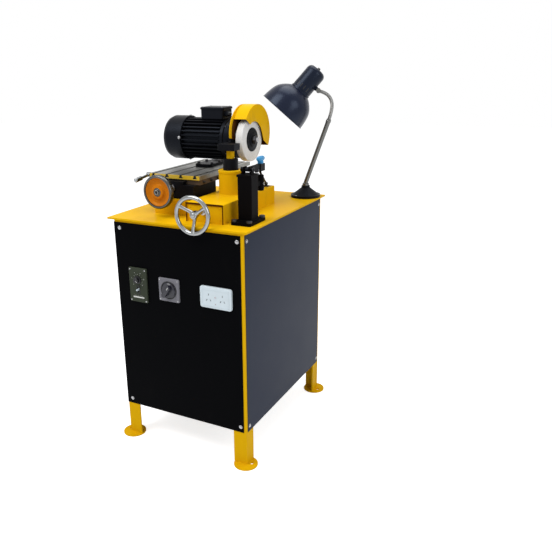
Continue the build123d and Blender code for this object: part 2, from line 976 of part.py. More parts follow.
def base_box():
    """Long welded box, open below and at the front, with the hole for the ram and the plunger guide."""
    shell = block((box_left, box_right), (box_front, box_rear), (table_height, box_top))
    shell = fillet(shell.edges().filter_by(Axis.Y).group_by(Axis.Z)[-1], box_edge_round)
    inner_x = (box_left + box_wall, box_right - box_wall)
    inner_y = (box_front - cut_over, box_rear - box_wall)
    shell -= block(inner_x, inner_y, (table_height - cut_over, box_ceiling))
    guide = Vector(plunger_x, plunger_y, box_ceiling - plunger_guide_depth)
    shell += rod(guide, upward, plunger_guide_radius, plunger_guide_depth)
    guide_length = plunger_guide_depth + box_top_plate + 2 * cut_over
    shell -= rod(guide - upward * cut_over, upward, plunger_radius + running_gap, guide_length)
    hole_length = box_top_plate + 2 * cut_over
    return shell - rod(on_column(box_ceiling - cut_over), upward, ram_radius + loose_gap, hole_length)


def box_cover():
    """Inset front plate of the base box, with a seam groove and the bearing boss of the lift shaft."""
    x_range = (box_left + box_wall, box_right - box_wall)
    back_y = cover_face_y + cover_thickness
    seam_y = cover_face_y + cover_groove_depth
    plate = block(x_range, (seam_y, back_y), (table_height, box_ceiling))
    face_x = (x_range[0] + cover_groove, x_range[1] - cover_groove)
    plate += block(face_x, (cover_face_y, seam_y), (table_height, box_ceiling - cover_groove))
    boss_length = cover_thickness + cover_boss_length
    boss = rod(on_lift_shaft(cover_face_y), rearward, cover_boss_radius, boss_length)
    hole_start = on_lift_shaft(cover_face_y - cut_over)
    hole = rod(hole_start, rearward, lift_shaft_radius + running_gap, boss_length + 2 * cut_over)
    return plate + boss - hole


def column_sleeve():
    """Round column that guides the ram."""
    bore = ram_radius + running_gap
    collar = column_radius + column_collar_over
    collar_low = column_height - column_collar_height
    return turned(
        [
            (bore, 0),
            (column_radius + column_foot_flare, 0),
            (column_radius, column_foot_flare),
            (column_radius, collar_low - column_collar_over),
            (collar, collar_low),
            (collar, column_height - edge_break),
            (collar - edge_break, column_height),
            (bore, column_height),
        ],
        on_column(box_top),
        upward,
    )


def ram():
    """Black round ram with the lift nut thread in its foot."""
    bar = turned(
        [
            (0, 0),
            (ram_radius, 0),
            (ram_radius, ram_length - ram_edge),
            (ram_radius - ram_edge, ram_length),
            (0, ram_length),
        ],
        on_column(ram_bottom),
        upward,
    )
    thread = lift_screw_radius + running_gap
    bar -= rod(on_column(ram_bottom - cut_over), upward, thread, lift_nut_length + 2 * cut_over)
    cavity = ram_bottom + lift_nut_length
    bar -= rod(on_column(cavity), upward, ram_cavity_radius, ram_cavity_top - cavity)
    spigot_depth = neck_spigot_depth + sliding_gap
    spigot = on_column(ram_top - spigot_depth)
    return bar - rod(spigot, upward, neck_spigot_radius + running_gap, spigot_depth + cut_over)


def bevel_wheel(direction, phase):
    """Toothed cone of a mitre pair, measured from the crossing point of the two axes."""
    near = bevel_pitch_radius - bevel_face
    root = bevel_pitch_radius - bevel_tooth
    cone = turned(
        [
            (0, near),
            (near - bevel_tooth, near),
            (root, bevel_pitch_radius),
            (root, bevel_pitch_radius + bevel_back),
            (0, bevel_pitch_radius + bevel_back),
        ],
        Vector(0, 0, 0),
        upward,
    )
    tooth_side = make_face(
        Polyline(
            (near - bevel_tooth - cut_over, near - bevel_tip),
            (near + bevel_tip, near - bevel_tip),
            (bevel_pitch_radius + bevel_tip, bevel_pitch_radius - bevel_tip),
            (root - cut_over, bevel_pitch_radius + bevel_tooth - bevel_tip),
            close=True,
        )
    )
    pitch = math.pi * bevel_pitch_radius / bevel_teeth
    tooth = extrude(Plane.XZ * tooth_side, pitch * bevel_tooth_share / 2, both=True)
    for index in range(bevel_teeth):
        cone += Rot(0, 0, phase + index * 360 / bevel_teeth) * tooth
    return Plane(origin=on_lift_shaft(column_y), z_dir=direction) * cone


def lift_shaft():
    """Handwheel shaft with its mitre pinion at the inner end."""
    start = handwheel_hub_y + handwheel_bore_wall + loose_gap
    end = column_y - bevel_pitch_radius
    shaft = rod(on_lift_shaft(start), rearward, lift_shaft_radius, end - start)
    collar_y = cover_face_y + cover_thickness + cover_boss_length + sliding_gap
    collar_radius = lift_shaft_radius + lift_collar_over
    collar = rod(on_lift_shaft(collar_y), rearward, collar_radius, lift_collar_width)
    return shaft + collar + bevel_wheel(forward, 0)


def lift_screw():
    """Vertical screw with its mitre gear, standing on the table plate."""
    foot = table_height + sliding_gap
    screw = rod(on_column(foot), upward, lift_screw_radius, lift_screw_top - foot)
    collar_radius = lift_screw_radius + thrust_collar_over
    collar = rod(on_column(foot), upward, collar_radius, thrust_collar_height)
    return screw + collar + bevel_wheel(downward, 180 / bevel_teeth)


def lift_handwheel():
    """Dished three-spoke handwheel."""
    centre = on_lift_shaft(handwheel_rim_y)
    wheel = Plane(origin=centre, z_dir=forward) * Torus(handwheel_rim_radius, handwheel_tube_radius)
    wheel += turned(
        [
            (0, 0),
            (handwheel_hub_radius - handwheel_hub_edge, 0),
            (handwheel_hub_radius, handwheel_hub_edge),
            (handwheel_hub_radius, handwheel_hub_length),
            (0, handwheel_hub_length),
        ],
        on_lift_shaft(handwheel_hub_y),
        rearward,
    )
    hub_middle = on_lift_shaft(handwheel_rim_y + handwheel_dish)
    for angle in handwheel_spoke_angles:
        turn = math.radians(angle)
        run = Vector(math.cos(turn), 0, math.sin(turn))
        root = hub_middle + run * (handwheel_hub_radius - handwheel_spoke_sink)
        tip = centre + run * handwheel_rim_radius
        across = run.cross(forward)
        start = Plane(origin=root, x_dir=across, z_dir=tip - root)
        finish = Plane(origin=tip, x_dir=across, z_dir=tip - root)
        wide = Ellipse(handwheel_spoke_root, handwheel_spoke_root * handwheel_spoke_flat)
        narrow = Ellipse(handwheel_spoke_tip, handwheel_spoke_tip * handwheel_spoke_flat)
        wheel += loft([start * wide, finish * narrow])
    bore_start = on_lift_shaft(handwheel_hub_y + handwheel_bore_wall)
    return wheel - rod(bore_start, rearward, lift_shaft_radius, handwheel_hub_length)


def swivel_neck():
    """Yellow neck block that turns on the ram."""
    z_range = (ram_top + sliding_gap, saddle_z)
    neck = block(about(box_x, neck_width), about(column_y, neck_depth), z_range)
    neck = chamfer(neck.edges().filter_by(Axis.Z), neck_edge)
    spigot = on_column(ram_top - neck_spigot_depth)
    return neck + rod(spigot, upward, neck_spigot_radius, neck_spigot_depth + cut_over)


def head_bracket():
    """Casting: saddle block on the neck, web and round flange plate that carries the motor."""
    z_range = (saddle_z, saddle_z + saddle_height)
    saddle_rear = column_y + saddle_rear_reach
    saddle_x = (box_x - saddle_left_reach, box_x + saddle_right_reach)
    saddle = block(saddle_x, (column_y - saddle_front_reach, saddle_rear), z_range)
    saddle = fillet(saddle.edges().filter_by(Axis.Z), saddle_corner)
    web_x = (motor_face_x, motor_face_x + flange_plate_thickness)
    web = block(web_x, (saddle_rear - web_overlap, motor_y), z_range)
    disc = rod(on_axle(motor_face_x), rightward, flange_plate_radius, flange_plate_thickness)
    casting = saddle + web + disc
    boss_length = flange_plate_thickness + flange_boss_height
    for angle in flange_boss_angles:
        turn = math.radians(angle)
        run = Vector(0, math.cos(turn), math.sin(turn)) * flange_boss_circle
        casting += rod(on_axle(motor_face_x) + run, rightward, flange_boss_radius, boss_length)
    hole_length = flange_plate_thickness + 2 * cut_over
    return casting - rod(on_axle(motor_face_x - cut_over), rightward, flange_shaft_hole, hole_length)


def motor_housing():
    """Finned motor frame with a flat seat for the terminal box."""
    frame = rod(on_axle(frame_left), rightward, frame_core_radius, frame_length)
    fin_z = (frame_core_radius - cut_over, frame_fin_radius)
    fin = block(about(0, frame_length), about(0, fin_thickness), fin_z)
    for index in range(fin_count):
        angle = 360 / fin_count * (index + 0.5)
        frame += Pos(*on_axle(frame_middle)) * Rot(angle, 0, 0) * fin
    foot_x = (terminal_left + terminal_foot_inset, frame_right)
    foot_y = about(motor_y, terminal_width - 2 * terminal_foot_inset)
    foot_z = motor_z + frame_core_radius - terminal_foot_root
    frame += block(foot_x, foot_y, (foot_z, terminal_seat))
    above_x = (frame_left - cut_over, frame_right + cut_over)
    frame -= block(above_x, about(motor_y, 2 * frame_fin_radius), (terminal_seat, terminal_top))
    bore_length = frame_length + 2 * cut_over
    return frame - rod(on_axle(frame_left - cut_over), rightward, frame_bore_radius, bore_length)


def bearing_seats():
    """Left ends of the rear and the front bearing seat."""
    return (on_axle(rear_shield_left + bearing_rear_wall), on_axle(frame_right + bearing_front_wall))


def end_shields():
    """Front shield with the mounting face and rear shield under the fan cover."""
    front_shield = turned(
        [
            (0, 0),
            (shield_radius, 0),
            (shield_radius, shield_rim),
            (shield_radius - shield_step, shield_rim + shield_step / 2),
            (shield_face_radius + shield_step, shield_length - 2 * shield_step),
            (shield_face_radius, shield_length),
            (0, shield_length),
        ],
        on_axle(frame_right),
        rightward,
    )
    lip_start = rear_shield_length - rear_shield_rim
    lip_radius = frame_core_radius + rear_shield_lip
    rear_shield = turned(
        [
            (0, 0),
            (frame_core_radius, 0),
            (frame_core_radius, lip_start),
            (lip_radius, lip_start),
            (lip_radius, rear_shield_length),
            (0, rear_shield_length),
        ],
        on_axle(rear_shield_left),
        rightward,
    )
    hole_length = motor_face_x - rear_shield_left + 2 * cut_over
    hole = rod(on_axle(rear_shield_left - cut_over), rightward, shaft_radius + loose_gap, hole_length)
    shields = []
    for shield, seat in zip((rear_shield, front_shield), bearing_seats()):
        shield -= rod(seat, rightward, bearing_radius, bearing_width)
        shields.append((shield - hole).solid())
    return Compound(shields)


def motor_bearings():
    """Two ball bearings, drawn as their outer envelope."""
    rings = []
    for seat in bearing_seats():
        ring = rod(seat, rightward, bearing_radius, bearing_width)
        bore_start = seat + leftward * cut_over
        bore_length = bearing_width + 2 * cut_over
        ring -= rod(bore_start, rightward, shaft_radius + running_gap, bore_length)
        rings.append(ring.solid())
    return Compound(rings)


def stator_core():
    """Laminated ring with winding heads at both ends."""
    bore = rotor_radius + rotor_gap
    coil_in = bore + coil_step
    coil_out = frame_bore_radius - coil_step
    end = stator_length + coil_length
    return turned(
        [
            (coil_in, -coil_length),
            (coil_out, -coil_length),
            (coil_out, 0),
            (frame_bore_radius, 0),
            (frame_bore_radius, stator_length),
            (coil_out, stator_length),
            (coil_out, end),
            (coil_in, end),
            (coil_in, stator_length),
            (bore, stator_length),
            (bore, 0),
            (coil_in, 0),
        ],
        on_axle(frame_middle - stator_length / 2),
        rightward,
    )


def motor_shaft():
    """Shaft with the rotor, the wheel seat and the threaded nose."""
    start = fan_left - fan_shaft_end
    shaft = rod(on_axle(start), rightward, shaft_radius, nut_face_x - start)
    shaft += rod(on_axle(nut_face_x), rightward, shaft_nose_radius, shaft_end_x - nut_face_x)
    rotor = on_axle(frame_middle - stator_length / 2)
    return shaft + rod(rotor, rightward, rotor_radius, stator_length)


def cooling_fan():
    """Radial fan on the rear end of the shaft."""
    fan = rod(on_axle(fan_left), rightward, fan_hub_radius, fan_hub_length)
    disc_x = fan_left + fan_blade_length - fan_disc / 2
    fan += rod(on_axle(disc_x), rightward, fan_radius, fan_disc)
    blade_z = (fan_hub_radius - cut_over, fan_radius)
    blade = block((0, fan_blade_length), about(0, fan_blade_thickness), blade_z)
    for index in range(fan_blades):
        fan += Pos(*on_axle(fan_left)) * Rot(index * 360 / fan_blades, 0, 0) * blade
    bore_length = fan_hub_length + 2 * cut_over
    return fan - rod(on_axle(fan_left - cut_over), rightward, shaft_radius, bore_length)


def fan_cover_body(inset):
    """Solid inside the pressed cover's sheet, moved inwards by an inset and open at the motor end."""
    return turned(
        [
            (0, inset),
            (fan_cover_end_radius - inset, inset),
            (fan_cover_bend_radius - inset, fan_cover_bend),
            (fan_cover_radius - inset, fan_cover_shoulder),
            (fan_cover_radius - inset, fan_cover_length + inset),
            (0, fan_cover_length + inset),
        ],
        on_axle(fan_cover_left),
        rightward,
    )


def fan_cover():
    """Pressed fan cover with a slotted end and a lug ring on the rear shield."""
    cover = fan_cover_body(0) - fan_cover_body(fan_cover_sheet)
    slot_z = about(fan_slot_circle, fan_slot_length)
    slot = block(about(0, 4 * fan_cover_sheet), about(0, fan_slot_width), slot_z)
    for index in range(fan_slots):
        cover -= Pos(*on_axle(fan_cover_left)) * Rot(index * 360 / fan_slots, 0, 0) * slot
    lug_in = frame_core_radius + rear_shield_lip + running_gap
    lug_out = fan_cover_radius - fan_cover_sheet / 2
    profile = [(lug_in, 0), (lug_out, 0), (lug_out, fan_cover_lug), (lug_in, fan_cover_lug)]
    return cover + turned(profile, on_axle(frame_left - rear_shield_rim), rightward)


def terminal_box():
    """Terminal box with its lid and cable gland on top of the frame."""
    lid_z = terminal_top - terminal_lid
    x_range = (terminal_left, terminal_right)
    body = block(x_range, about(motor_y, terminal_width), (terminal_seat, lid_z))
    body = fillet(body.edges().filter_by(Axis.Z), terminal_corner)
    lid_x = (terminal_left - terminal_lid_over, terminal_right + terminal_lid_over)
    lid = block(lid_x, about(motor_y, terminal_width + 2 * terminal_lid_over), (lid_z, terminal_top))
    lid = fillet(lid.edges().filter_by(Axis.Z), terminal_corner + terminal_lid_over)
    lid = chamfer(lid.faces().sort_by(Axis.Z)[-1].edges(), terminal_lid_over)
    gland = Vector(terminal_right - cut_over, motor_y - gland_shift, (terminal_seat + lid_z) / 2)
    return body + lid + hexagon(gland, rightward, gland_across_flats, gland_length)


def flange_profile():
    """Half section of a dished clamp flange, from its wheel side outwards."""
    return [
        (shaft_radius, flange_rim),
        (flange_relief_radius, flange_rim),
        (flange_relief_radius, 0),
        (flange_radius, 0),
        (flange_radius, flange_edge),
        (flange_hub_radius, flange_thickness),
        (shaft_radius, flange_thickness),
    ]


def wheel_flanges():
    """Two dished clamp flanges and the clamp nut of the grinding wheel."""
    inner = turned(flange_profile(), on_axle(wheel_left_x), leftward)
    outer = turned(flange_profile(), on_axle(wheel_face_x), rightward)
    nut = hexagon(on_axle(nut_face_x), rightward, nut_across_flats, nut_height)
    hole_length = nut_height + 2 * cut_over
    nut -= rod(on_axle(nut_face_x - cut_over), rightward, shaft_nose_radius, hole_length)
    return Compound([inner.solid(), outer.solid(), nut.solid()])


def grinding_wheel():
    """White wheel with a bush on the shaft between its flanges."""
    return turned(
        [
            (shaft_radius, flange_rim),
            (wheel_bore_radius, flange_rim),
            (wheel_bore_radius, 0),
            (wheel_radius - edge_break, 0),
            (wheel_radius, edge_break),
            (wheel_radius, wheel_width - edge_break),
            (wheel_radius - edge_break, wheel_width),
            (wheel_bore_radius, wheel_width),
            (wheel_bore_radius, wheel_width - flange_rim),
            (shaft_radius, wheel_width - flange_rim),
        ],
        on_axle(wheel_left_x),
        rightward,
    )


def guard_point(angle, radius):
    """Point of the guard's outline in the plane of the wheel."""
    turn = math.radians(angle)
    y = motor_y + guard_shift_y + radius * math.cos(turn)
    return (y, motor_z + guard_shift_z + radius * math.sin(turn))


def guard_sector(radius):
    """Pie-shaped outline of the guard from its front end to its tail."""
    front_end = guard_point(guard_front_angle, radius)
    top = guard_point((guard_front_angle + guard_rear_angle) / 2, radius)
    rear_end = guard_point(guard_rear_angle, radius)
    hub = guard_point(0, 0)
    return make_face(ThreePointArc(front_end, top, rear_end) + Line(rear_end, hub) + Line(hub, front_end))


def guard_slab(outline, x_start, x_end):
    """Outline in the plane of the wheel, thickened along the motor's axis."""
    plane = Plane(origin=(x_start, 0, 0), x_dir=(0, 1, 0), z_dir=(1, 0, 0))
    return extrude(plane * outline, x_end - x_start)


def guard_window():
    """Opening of the guard's outer plate: a round window that runs out below."""
    rear_low = guard_point(guard_rear_angle, guard_radius)
    tail = (rear_low[0] - guard_tail_width, rear_low[1] - cut_over)
    throat = Polyline(
        (motor_y + guard_window_reach, motor_z + guard_window_rise),
        tail,
        (tail[0] - guard_radius, tail[1]),
        (motor_y, motor_z),
        close=True,
    )
    return Pos(motor_y, motor_z) * Circle(guard_window_radius) + make_face(throat)


def guard_back():
    """Outline of the guard's full plate on the motor side, cut off below along a slope."""
    centre = guard_point(0, 0)
    rear_low = guard_point(guard_rear_angle, guard_radius)
    front_y = centre[0] - guard_front_reach
    front_low = (front_y - guard_radius - cut_over, rear_low[1] + guard_front_lift)
    rear_y = rear_low[0] + guard_radius
    deep = rear_low[1] - 2 * guard_radius
    below = Polyline(
        front_low,
        rear_low,
        (rear_y, rear_low[1]),
        (rear_y, deep),
        (front_low[0], deep),
        close=True,
    )
    disc = Pos(*centre) * Circle(guard_radius) + Pos(front_y, centre[1]) * Circle(guard_radius)
    return disc - make_face(below)


def wheel_guard():
    """Sheet guard: rim band, full plate on the motor side and a cut-away plate on the open side."""
    inner_left = guard_left + guard_sheet
    inner_right = guard_right - guard_sheet
    shell = guard_slab(guard_sector(guard_radius), guard_left, guard_right)
    shell -= guard_slab(guard_sector(guard_radius - guard_sheet), inner_left, inner_right)
    shell -= guard_slab(guard_window(), inner_right - cut_over, guard_right + cut_over)
    shell += guard_slab(guard_back(), guard_left, inner_left)
    notch_length = guard_sheet + 2 * cut_over
    return shell - rod(on_axle(guard_left - cut_over), rightward, guard_spindle_notch, notch_length)


def slide_pedestal():
    """Hollow pedestal below the slide."""
    y_range = (pedestal_front, pedestal_rear)
    body = block(about(slide_x, pedestal_width), y_range, (table_height, slide_base_z))
    body = chamfer(body.edges().filter_by(Axis.Z), pedestal_corner)
    inner_x = about(slide_x, pedestal_width - 2 * pedestal_wall)
    inner_y = (pedestal_front + pedestal_wall, pedestal_rear - pedestal_wall)
    return body - block(inner_x, inner_y, (table_height - cut_over, slide_base_z - pedestal_wall))


def dovetail(y_range, height, spread):
    """Dovetail bar along the slide, wider at the top and grown by a side clearance."""
    lean = height / math.tan(math.radians(dovetail_angle))
    top = dovetail_top_width / 2 + spread
    section = Polyline((-top + lean, 0), (top - lean, 0), (top, height), (-top, height), close=True)
    way = Plane(origin=(slide_x, y_range[1], slide_way_z), x_dir=(1, 0, 0), z_dir=(0, -1, 0))
    return extrude(way * make_face(section), y_range[1] - y_range[0])


def slide_base():
    """Black slide bed with a male dovetail and the groove of the feed screw."""
    y_range = (slide_base_front, slide_base_rear)
    bed = block(about(slide_x, slide_base_width), y_range, (slide_base_z, slide_way_z))
    bed += dovetail(y_range, dovetail_height, 0)
    groove_y = (slide_base_front + screw_front_wall, slide_base_rear + cut_over)
    groove_z = (slide_way_z - screw_groove_depth, slide_way_z + dovetail_height + cut_over)
    bed -= block(about(slide_x, screw_groove_width), groove_y, groove_z)
    hole_start = on_slide_screw(slide_base_front - cut_over)
    hole_length = screw_front_wall + 2 * cut_over
    return bed - rod(hole_start, rearward, slide_screw_radius + running_gap, hole_length)


def table_saddle():
    """Grey saddle with the female dovetail and the lug of the feed nut."""
    y_range = (saddle_y_front, saddle_y_rear)
    body = block(about(slide_x, saddle_width), y_range, (slide_way_z + sliding_gap, saddle_top))
    way_range = (saddle_y_front - cut_over, saddle_y_rear + cut_over)
    body -= dovetail(way_range, dovetail_height + sliding_gap, sliding_gap)
    lug_y = about((slide_base_front + slide_base_rear) / 2, nut_lug_length)
    lug_z = (slide_screw_z - nut_lug_width / 2, saddle_top)
    lug = block(about(slide_x, nut_lug_width), lug_y, lug_z)
    thread_start = on_slide_screw(lug_y[0] - cut_over)
    thread_length = nut_lug_length + 2 * cut_over
    return body + lug - rod(thread_start, rearward, slide_screw_radius + running_gap, thread_length)


def slide_table():
    """Steel table with four T-slots along its length."""
    y_range = (table_front, table_rear)
    plate = block(about(slide_x, table_width), y_range, (saddle_top, slide_table_top))
    front_edges = plate.faces().sort_by(Axis.Y)[0].edges().filter_by(Axis.Z)
    plate = chamfer(front_edges.sort_by(Axis.X)[0], slide_table_corner)
    slot_y = (table_front - cut_over, table_rear + cut_over)
    neck_z = slide_table_top - slot_neck_depth
    for index in range(slot_count):
        x = slide_x + (index - (slot_count - 1) / 2) * slot_pitch
        plate -= block(about(x, slot_neck), slot_y, (neck_z - cut_over, slide_table_top + cut_over))
        plate -= block(about(x, slot_head), slot_y, (neck_z - slot_head_depth, neck_z))
    hole_start = clamp_seat + leftward * cut_over
    hole_length = clamp_stud_depth + 2 * cut_over
    return plate - rod(hole_start, rightward, clamp_stud_radius + running_gap, hole_length)


def slide_screw():
    """Feed screw of the slide with its thrust collar."""
    start = orange_web_front - orange_hub_proud
    length = slide_base_rear - slide_screw_end - start
    screw = rod(on_slide_screw(start), rearward, slide_screw_radius, length)
    collar = on_slide_screw(slide_base_front - sliding_gap - slide_collar_width)
    return screw + rod(collar, rearward, slide_screw_radius + slide_collar_over, slide_collar_width)


def slide_handwheel():
    """Disc handwheel: painted web, polished rim, hub with a bolt."""
    rim_in = orange_wheel_radius - orange_rim_width
    web_front = orange_web_front - orange_wheel_front
    web_back = web_front + orange_web_thickness
    hub_front = web_front - orange_hub_proud
    wheel = turned(
        [
            (slide_screw_radius, hub_front),
            (orange_hub_radius, hub_front),
            (orange_hub_radius + edge_break, web_front),
            (rim_in - orange_web_flare, web_front),
            (rim_in, edge_break),
            (rim_in + edge_break, 0),
            (orange_wheel_radius - orange_rim_edge, 0),
            (orange_wheel_radius, orange_rim_edge),
            (orange_wheel_radius, orange_rim_depth - orange_rim_edge),
            (orange_wheel_radius - orange_rim_edge, orange_rim_depth),
            (rim_in + edge_break, orange_rim_depth),
            (rim_in, orange_rim_depth - edge_break),
            (rim_in - orange_web_flare, web_back),
            (orange_hub_radius, web_back),
            (orange_hub_radius, orange_hub_length),
            (slide_screw_radius, orange_hub_length),
        ],
        on_slide_screw(orange_wheel_front),
        rearward,
    )
    bolt = on_slide_screw(orange_wheel_front + hub_front)
    return wheel + hexagon(bolt, forward, orange_bolt_across, orange_bolt_height)


def clamp_lever():
    """Chrome clamp lever at the front left corner of the table."""
    seat = clamp_seat + leftward * sliding_gap
    hub = rod(seat, leftward, clamp_hub_radius, clamp_hub_length)
    stud = rod(seat, rightward, clamp_stud_radius, clamp_stud_depth)
    tilt = math.radians(clamp_tilt)
    run = Vector(0, -math.cos(tilt), -math.sin(tilt))
    middle = seat + leftward * (clamp_hub_length / 2)
    bar = rod(middle, run, clamp_rod_radius, clamp_rod_length)
    grip_start = middle + run * (clamp_rod_length - clamp_grip_sink)
    grip = rod(grip_start, run, clamp_grip_radius, clamp_grip_length)
    return hub + stud + bar + fillet(grip.edges(), clamp_grip_round)


def arbor_base():
    """Black plate clamped on the slide table that carries the blade arbor."""
    y_range = (arbor_base_rear - arbor_base_length, arbor_base_rear)
    plate = block(about(slide_x, arbor_base_width), y_range, (slide_table_top, arbor_base_top))
    plate = fillet(plate.edges().filter_by(Axis.Z), arbor_base_corner)
    hole_start = on_arbor(slide_table_top - cut_over)
    hole_length = arbor_base_thickness + 2 * cut_over
    return plate - rod(hole_start, upward, arbor_shank_radius + running_gap, hole_length)


def blade_arbor():
    """Arbor with the blade flange, the blade pilot and the threaded end."""
    low = slide_table_top + sliding_gap
    arbor = rod(on_arbor(low), upward, arbor_shank_radius, arbor_seat_z - low)
    arbor += rod(on_arbor(arbor_flange_z), upward, arbor_flange_radius, arbor_flange_height)
    arbor += rod(on_arbor(arbor_seat_z), upward, arbor_radius, arbor_seat_height)
    thread_length = arbor_seat_height + arbor_nut_height
    return arbor + rod(on_arbor(arbor_seat_z), upward, arbor_thread_radius, thread_length)


def arbor_nut():
    """Round clamp nut on the arbor."""
    seat = on_arbor(arbor_seat_z + arbor_seat_height)
    nut = rod(seat, upward, arbor_nut_radius, arbor_nut_height)
    nut -= rod(seat - upward * cut_over, upward, arbor_thread_radius, arbor_nut_height + 2 * cut_over)
    notch_z = (-cut_over, arbor_nut_height + cut_over)
    notch = block(about(0, arbor_nut_notch), about(arbor_nut_radius, arbor_nut_notch), notch_z)
    for angle in (0, 90, 180, 270):
        nut -= Pos(*seat) * Rot(0, 0, angle) * notch
    return nut


def post_bolt_places():
    """Seats of the bolts on the feed post's flange."""
    places = []
    for sx, sy in corner_signs():
        places.append(Vector(post_x + sx * post_bolt_x, post_y + sy * post_bolt_y, post_flange_top))
    return places


def hold_down_bolts():
    """Bolts of the feed post with their nuts under the table plate."""
    shank = post_flange_top - table_under + bolt_tail
    bolts = []
    for place in post_bolt_places():
        bolt = rod(place - upward * shank, upward, post_bolt_radius, shank)
        bolt += hexagon(place, upward, bolt_head_across, bolt_head_height)
        under = Vector(place.X, place.Y, table_under)
        bolts.append((bolt + hexagon(under, downward, bolt_head_across, bolt_nut_height)).solid())
    return Compound(bolts)


def feed_post():
    """Square tube post welded on a foot flange."""
    x_range = about(post_x, post_side)
    y_range = about(post_y, post_side)
    tube = block(x_range, y_range, (post_flange_top, post_top))
    tube = fillet(tube.edges().filter_by(Axis.Z), post_corner)
    bore = post_side - 2 * post_wall
    tube -= block(about(post_x, bore), about(post_y, bore), (post_flange_top, post_top + cut_over))
    flange_z = (table_height, post_flange_top)
    flange = block(about(post_x, post_flange_x), about(post_y, post_flange_y), flange_z)
    post = tube + fillet(flange.edges().filter_by(Axis.Z), post_flange_corner)
    hole_length = post_flange_thickness + 2 * cut_over
    for place in post_bolt_places():
        post -= rod(place + upward * cut_over, downward, post_bolt_radius + bolt_gap, hole_length)
    return post


def post_head():
    """Cap of the post with two ears that lean in to the lever pivot."""
    cap_side = post_side + 2 * head_cap_over
    cap_top = post_top + head_cap_thickness
    head = block(about(post_x, cap_side), about(post_y, cap_side), (post_top, cap_top))
    gap = lever_thickness / 2 + sliding_gap
    foot_z = cap_top - cut_over
    ear_top = pivot_height + ear_over_pivot
    face = Plane(origin=(post_x, post_y, 0), x_dir=(1, 0, 0), z_dir=(0, -1, 0))
    for side in (-1, 1):
        outline = Polyline(
            (side * (gap + ear_spread), foot_z),
            (side * gap, ear_top),
            (side * (gap + ear_thickness), ear_top),
            (side * (gap + ear_spread + ear_thickness), foot_z),
            close=True,
        )
        head += extrude(face * make_face(outline), ear_depth / 2, both=True)
    pin = Vector(post_x - cap_side / 2, post_y, pivot_height)
    return head - rod(pin, rightward, pivot_radius + running_gap, cap_side)


def pawl_lever():
    """Lever with its pivot pin, the end block and the pins of the push rod and the pawl."""
    bar_y = (post_y - lever_height / 2, lever_end_y)
    bar = block(about(post_x, lever_thickness), bar_y, about(pivot_height, lever_height))
    bar = chamfer(bar.edges().filter_by(Axis.X).group_by(Axis.Y)[0], lever_height / 4)
    lever = bar + block(
        about(post_x, 2 * lever_end_half),
        about(lever_end_y, lever_end_length),
        (lever_bottom, lever_top),
    )
    pin_reach = lever_thickness / 2 + sliding_gap + ear_spread + ear_thickness + pivot_show
    lever += rod(Vector(post_x - pin_reach, post_y, pivot_height), rightward, pivot_radius, 2 * pin_reach)
    stud_length = lever_end_half + 2 * sliding_gap + rod_eye_width
    lever += rod(Vector(post_x, rod_pin_y, rod_pin_z), leftward, rod_pin_radius, stud_length)
    pin_low = Vector(post_x, pawl_y, pawl_clip_z)
    lever += rod(pin_low, upward, pawl_pin_radius, pivot_height - pawl_clip_z)
    lever += rod(pin_low, upward, pawl_clip_radius, pawl_clip_height)
    thread = Vector(post_x, lever_end_y, lever_bottom - cut_over)
    return lever - rod(thread, upward, knob_stem_radius + running_gap, lever_end_height + 2 * cut_over)


def feed_pawl():
    """Steel finger on a pin under the lever, which pushes the teeth."""
    tip_x = post_x - pawl_length
    heel_x = post_x + pawl_clip_radius + pawl_heel
    tip_z = pawl_top - pawl_tip_drop
    outline = Polyline(
        (heel_x, pawl_top),
        (tip_x + pawl_tip_top, pawl_top),
        (tip_x, tip_z),
        (tip_x, tip_z - pawl_tip_height),
        (tip_x + pawl_tip_under, pawl_bottom),
        (heel_x, pawl_bottom),
        close=True,
    )
    face = Plane(origin=(0, pawl_y, 0), x_dir=(1, 0, 0), z_dir=(0, -1, 0))
    finger = extrude(face * make_face(outline), pawl_thickness / 2, both=True)
    low = Vector(post_x, pawl_y, pawl_bottom)
    finger += rod(low, upward, pawl_pin_radius + pawl_boss_wall, pawl_height)
    hole_length = pawl_height + 2 * cut_over
    return finger - rod(low - upward * cut_over, upward, pawl_pin_radius + running_gap, hole_length)


def stroke_knob():
    """Blue T-knob on the stroke screw."""
    low = Vector(post_x, lever_end_y, lever_bottom - knob_stem_show)
    seat = Vector(post_x, lever_end_y, lever_top + sliding_gap)
    knob = rod(low, upward, knob_stem_radius, seat.Z + knob_sink - low.Z)
    collar = rod(seat, upward, knob_collar_radius, knob_collar_height)
    knob += chamfer(collar.edges(), edge_break)
    bar_z = seat.Z + knob_collar_height + knob_bar_radius - knob_sink
    bar_start = Vector(post_x, lever_end_y - knob_bar_length / 2, bar_z)
    bar = rod(bar_start, rearward, knob_bar_radius, knob_bar_length)
    return knob + fillet(bar.edges(), knob_bar_round)


def lever_buffer():
    """Black buffer cylinder strapped to the back of the post."""
    top = post_top - buffer_drop
    axis = Vector(post_x, lever_end_y, top - buffer_height)
    body = rod(axis, upward, buffer_radius, buffer_height)
    body = chamfer(body.edges().filter_by(GeomType.CIRCLE), buffer_edge)
    tip = lever_bottom - knob_stem_show - sliding_gap
    body += rod(axis, upward, buffer_pin_radius, tip - axis.Z)
    strap_z = about(axis.Z + buffer_height / 2, buffer_strap_height)
    return body + block(about(post_x, buffer_strap), (post_y + post_side / 2, lever_end_y), strap_z)


